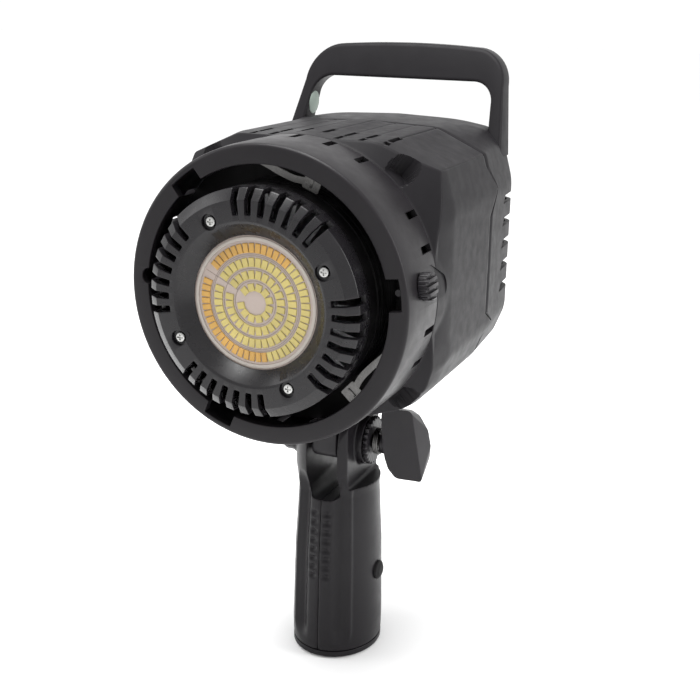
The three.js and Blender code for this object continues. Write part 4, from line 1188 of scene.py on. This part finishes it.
# ---------- tilt joint
def tilt_bolt():
    """The bolt, whose thread is a row of rings from thread_start on."""
    pitch, thread_start = 1.25, 16
    profile = [(0, -29), (3.6, -29), (4, -28.6), (4, thread_start)]
    for turn in range(int((37.4 - thread_start) / pitch)):
        start = thread_start + turn * pitch
        profile += [(3.45, start + pitch * 0.45), (4, start + pitch * 0.9)]
    profile += [(3.4, 38), (0, 38)]
    bolt = turned("tilt_bolt_threaded", profile, "x", TILT, 48, sharp=20)
    place(bolt, "grip", "screw_steel", SPRING, "tilt_bolt")


def nut_cap():
    profile = rounded([(0, -29.6, 0), (5.2, -29.6, 0.4), (5.8, -30.5, 0.4), (9.6, -30.4, 1.6),
                       (12, -28.2, 1.6), (12, -23.2, 0.5), (4.4, -23.2, 0.2), (4.4, -25, 0), (0, -25, 0)], 5)
    cap = turned("nut_cap_domed", profile, "x", TILT, 96)
    for step in range(6):
        turn = math.radians(60 * step + 30)
        centre = (14.4 * math.cos(turn), 14.4 * math.sin(turn))
        boolean(cap, [rod("scallop", 3.2, -40, -24.6, "x", TILT, centre, 32)])
    shade(cap, 32)
    place(cap, "grip", "black_plastic", KNOB, "nut_cap")


def friction_washers():
    for i, (low, high) in enumerate(((-8.2, -7.3), (7.3, 8.2)), 1):
        profile = rounded([(BORE_R, low, 0.15), (11, low, 0.25), (11, high, 0.25), (BORE_R, high, 0.15)], 3)
        washer = turned(f"friction_washer_ring_{i}", profile, "x", TILT, 96)
        place(washer, "grip", "screw_steel", STEEL, f"friction_washer_{i}")


def toothed_washer():
    degrees = np.arange(0, 360, 1.25)
    teeth = np.abs((degrees / 15) % 1 - 0.5) * 2
    sections = [rounded([(BORE_R, 17.3, 0.2), (edge - 0.4, 17.3, 0.2), (edge, 17.8, 0.2), (edge, 19.1, 0.2),
                         (edge - 0.4, 19.6, 0.2), (BORE_R, 19.6, 0.2)], 2) for edge in 11.4 + 1.2 * teeth]
    piece = turned_shape("toothed_washer_disc", np.radians(degrees), sections, "x", TILT, 30)
    place(piece, "grip", "black_plastic", KNOB, "toothed_washer")


def pressure_spring():
    wire, coil, turns = 0.62, 6.4, 3
    steps, around = 36 * turns, 14
    points = []
    for step in range(steps + 1):
        turn = 2 * math.pi * turns * step / steps
        centre_x = 20.6 + 2.6 * step / steps
        for k in range(around):
            swing = 2 * math.pi * k / around
            x, radius = centre_x + wire * math.sin(swing), coil + wire * math.cos(swing)
            points.append((x, radius * math.cos(turn), radius * math.sin(turn)))
    piece = new_piece("pressure_spring_coil", points, tube_faces(steps + 1, around), TILT, 60)
    place(piece, "grip", "spring_steel", SPRING, "pressure_spring")


def wing_knob():
    """A paddle with a straight front edge, a bulging back edge, hollowed sides and a round hub."""
    front = [(x, -WING_HALF_DEPTH, z) for x, z in rounded(WING_FRONT, 4)]
    back = [(x, WING_HALF_DEPTH, z) for x, z in rounded(WING_BACK, 4)]
    paddle = hull("wing_knob_paddle", front + back, TILT)
    boolean(paddle, [rod("hub", 6.2, 24.2, 30, "x", TILT, count=64)], "UNION")
    soften(paddle, 0.4, 3)
    boolean(paddle, [rod("hollow", 120, -40, 40, "z", TILT, (34.5, side * 125.95), 360) for side in (-1, 1)])
    boolean(paddle, [rod("bore", BORE_R, 20, 38.4, "x", TILT)])
    shade(paddle, 32)
    place(paddle, "wing", "black_plastic", KNOB, "wing_knob")


def handle_label():
    """The blank round label on the handle's left leg, which leans with the leg."""
    disc = rod("handle_label_disc", 6.2, -0.12, 0.16, "x", LAMP + LABEL_CENTRE, count=64)
    bevel(disc, 0.1, 2)
    middle = Vector((LAMP + LABEL_CENTRE) * MM)
    lean = Matrix.Rotation(math.radians(5.5), 4, "Y")
    disc.data.transform(Matrix.Translation(middle) @ lean @ Matrix.Translation(-middle))
    place(disc, "lamp", "housing_grey", LABEL)


# ---------- stage and light
def stage():
    mesh = bpy.data.meshes.new("floor")
    corners = [(x, y, 0) for x, y in rectangle(-8.0, 8.0, -8.0, 8.0)]
    mesh.from_pydata(corners, [], [(0, 1, 2, 3)])
    floor = add_object("floor", mesh)
    look, nodes, links, shader, place_on = material("pale_floor")
    shade_of_white = ramp(nodes, links, noise(nodes, links, place_on, 2), (0.94,) * 3, (0.96,) * 3)
    links.new(shade_of_white, shader.inputs["Base Color"])
    shader.inputs["Roughness"].default_value = 0.8
    mesh.materials.append(look)


def area_light(name, position, size, power):
    """A softbox aimed at the middle of the lamp and grip."""
    data = bpy.data.lights.new(name, "AREA")
    data.shape = "RECTANGLE"
    data.size, data.size_y = size
    data.energy = power
    light = add_object(name, data)
    light.location = position
    aim = Vector((0, 0, 0.18)) - Vector(position)
    light.rotation_euler = aim.to_track_quat("-Z", "Y").to_euler()


def lighting():
    world = bpy.data.worlds.new("studio")
    world.use_nodes = True
    world.node_tree.nodes["Background"].inputs["Color"].default_value = (1, 1, 1, 1)
    world.node_tree.nodes["Background"].inputs["Strength"].default_value = 1.06
    bpy.context.scene.world = world
    area_light("top_softbox", (-0.1, -0.1, 1.3), (0.8, 0.8), 22)
    area_light("left_softbox", (-1.2, -0.5, 0.7), (0.5, 0.9), 4)
    area_light("right_softbox", (1.25, 0.15, 0.65), (0.4, 0.9), 9)
    bpy.context.scene.view_settings.view_transform = "Standard"


for make in (collar, main_shell, rear_cover, carry_handle, vent_bezel, bezel_screws, led_board, lug_springs,
             lamp_barrel, release_knob, control_panel, dial_scales, display_window):
    make()
for body, (x, z) in DIAL_CENTRES.items():
    dial(body, x, z)
for number, spot in enumerate(BUTTON_CENTRES, 1):
    push_button(number, spot)
for make in (power_rocker, power_inlet, tilt_arm, pistol_grip, grip_foot, tripod_bushing, grip_screws,
             side_plug, tilt_bolt, nut_cap, friction_washers, toothed_washer, pressure_spring, wing_knob,
             handle_label, stage, lighting):
    make()

CARRIED_OVER = {
    "heat_sink": ALUMINIUM,
    "power_supply": ALUMINIUM,
    "bulkhead": INNER,
    "fan_frame": INNER,
    "fan_rotor": RUBBER,
    "driver_board": BOARD,
    "panel_board": BOARD,
}
for node, look in CARRIED_OVER.items():
    frame["nodes"][node].data.materials.clear()
    frame["nodes"][node].data.materials.append(look)
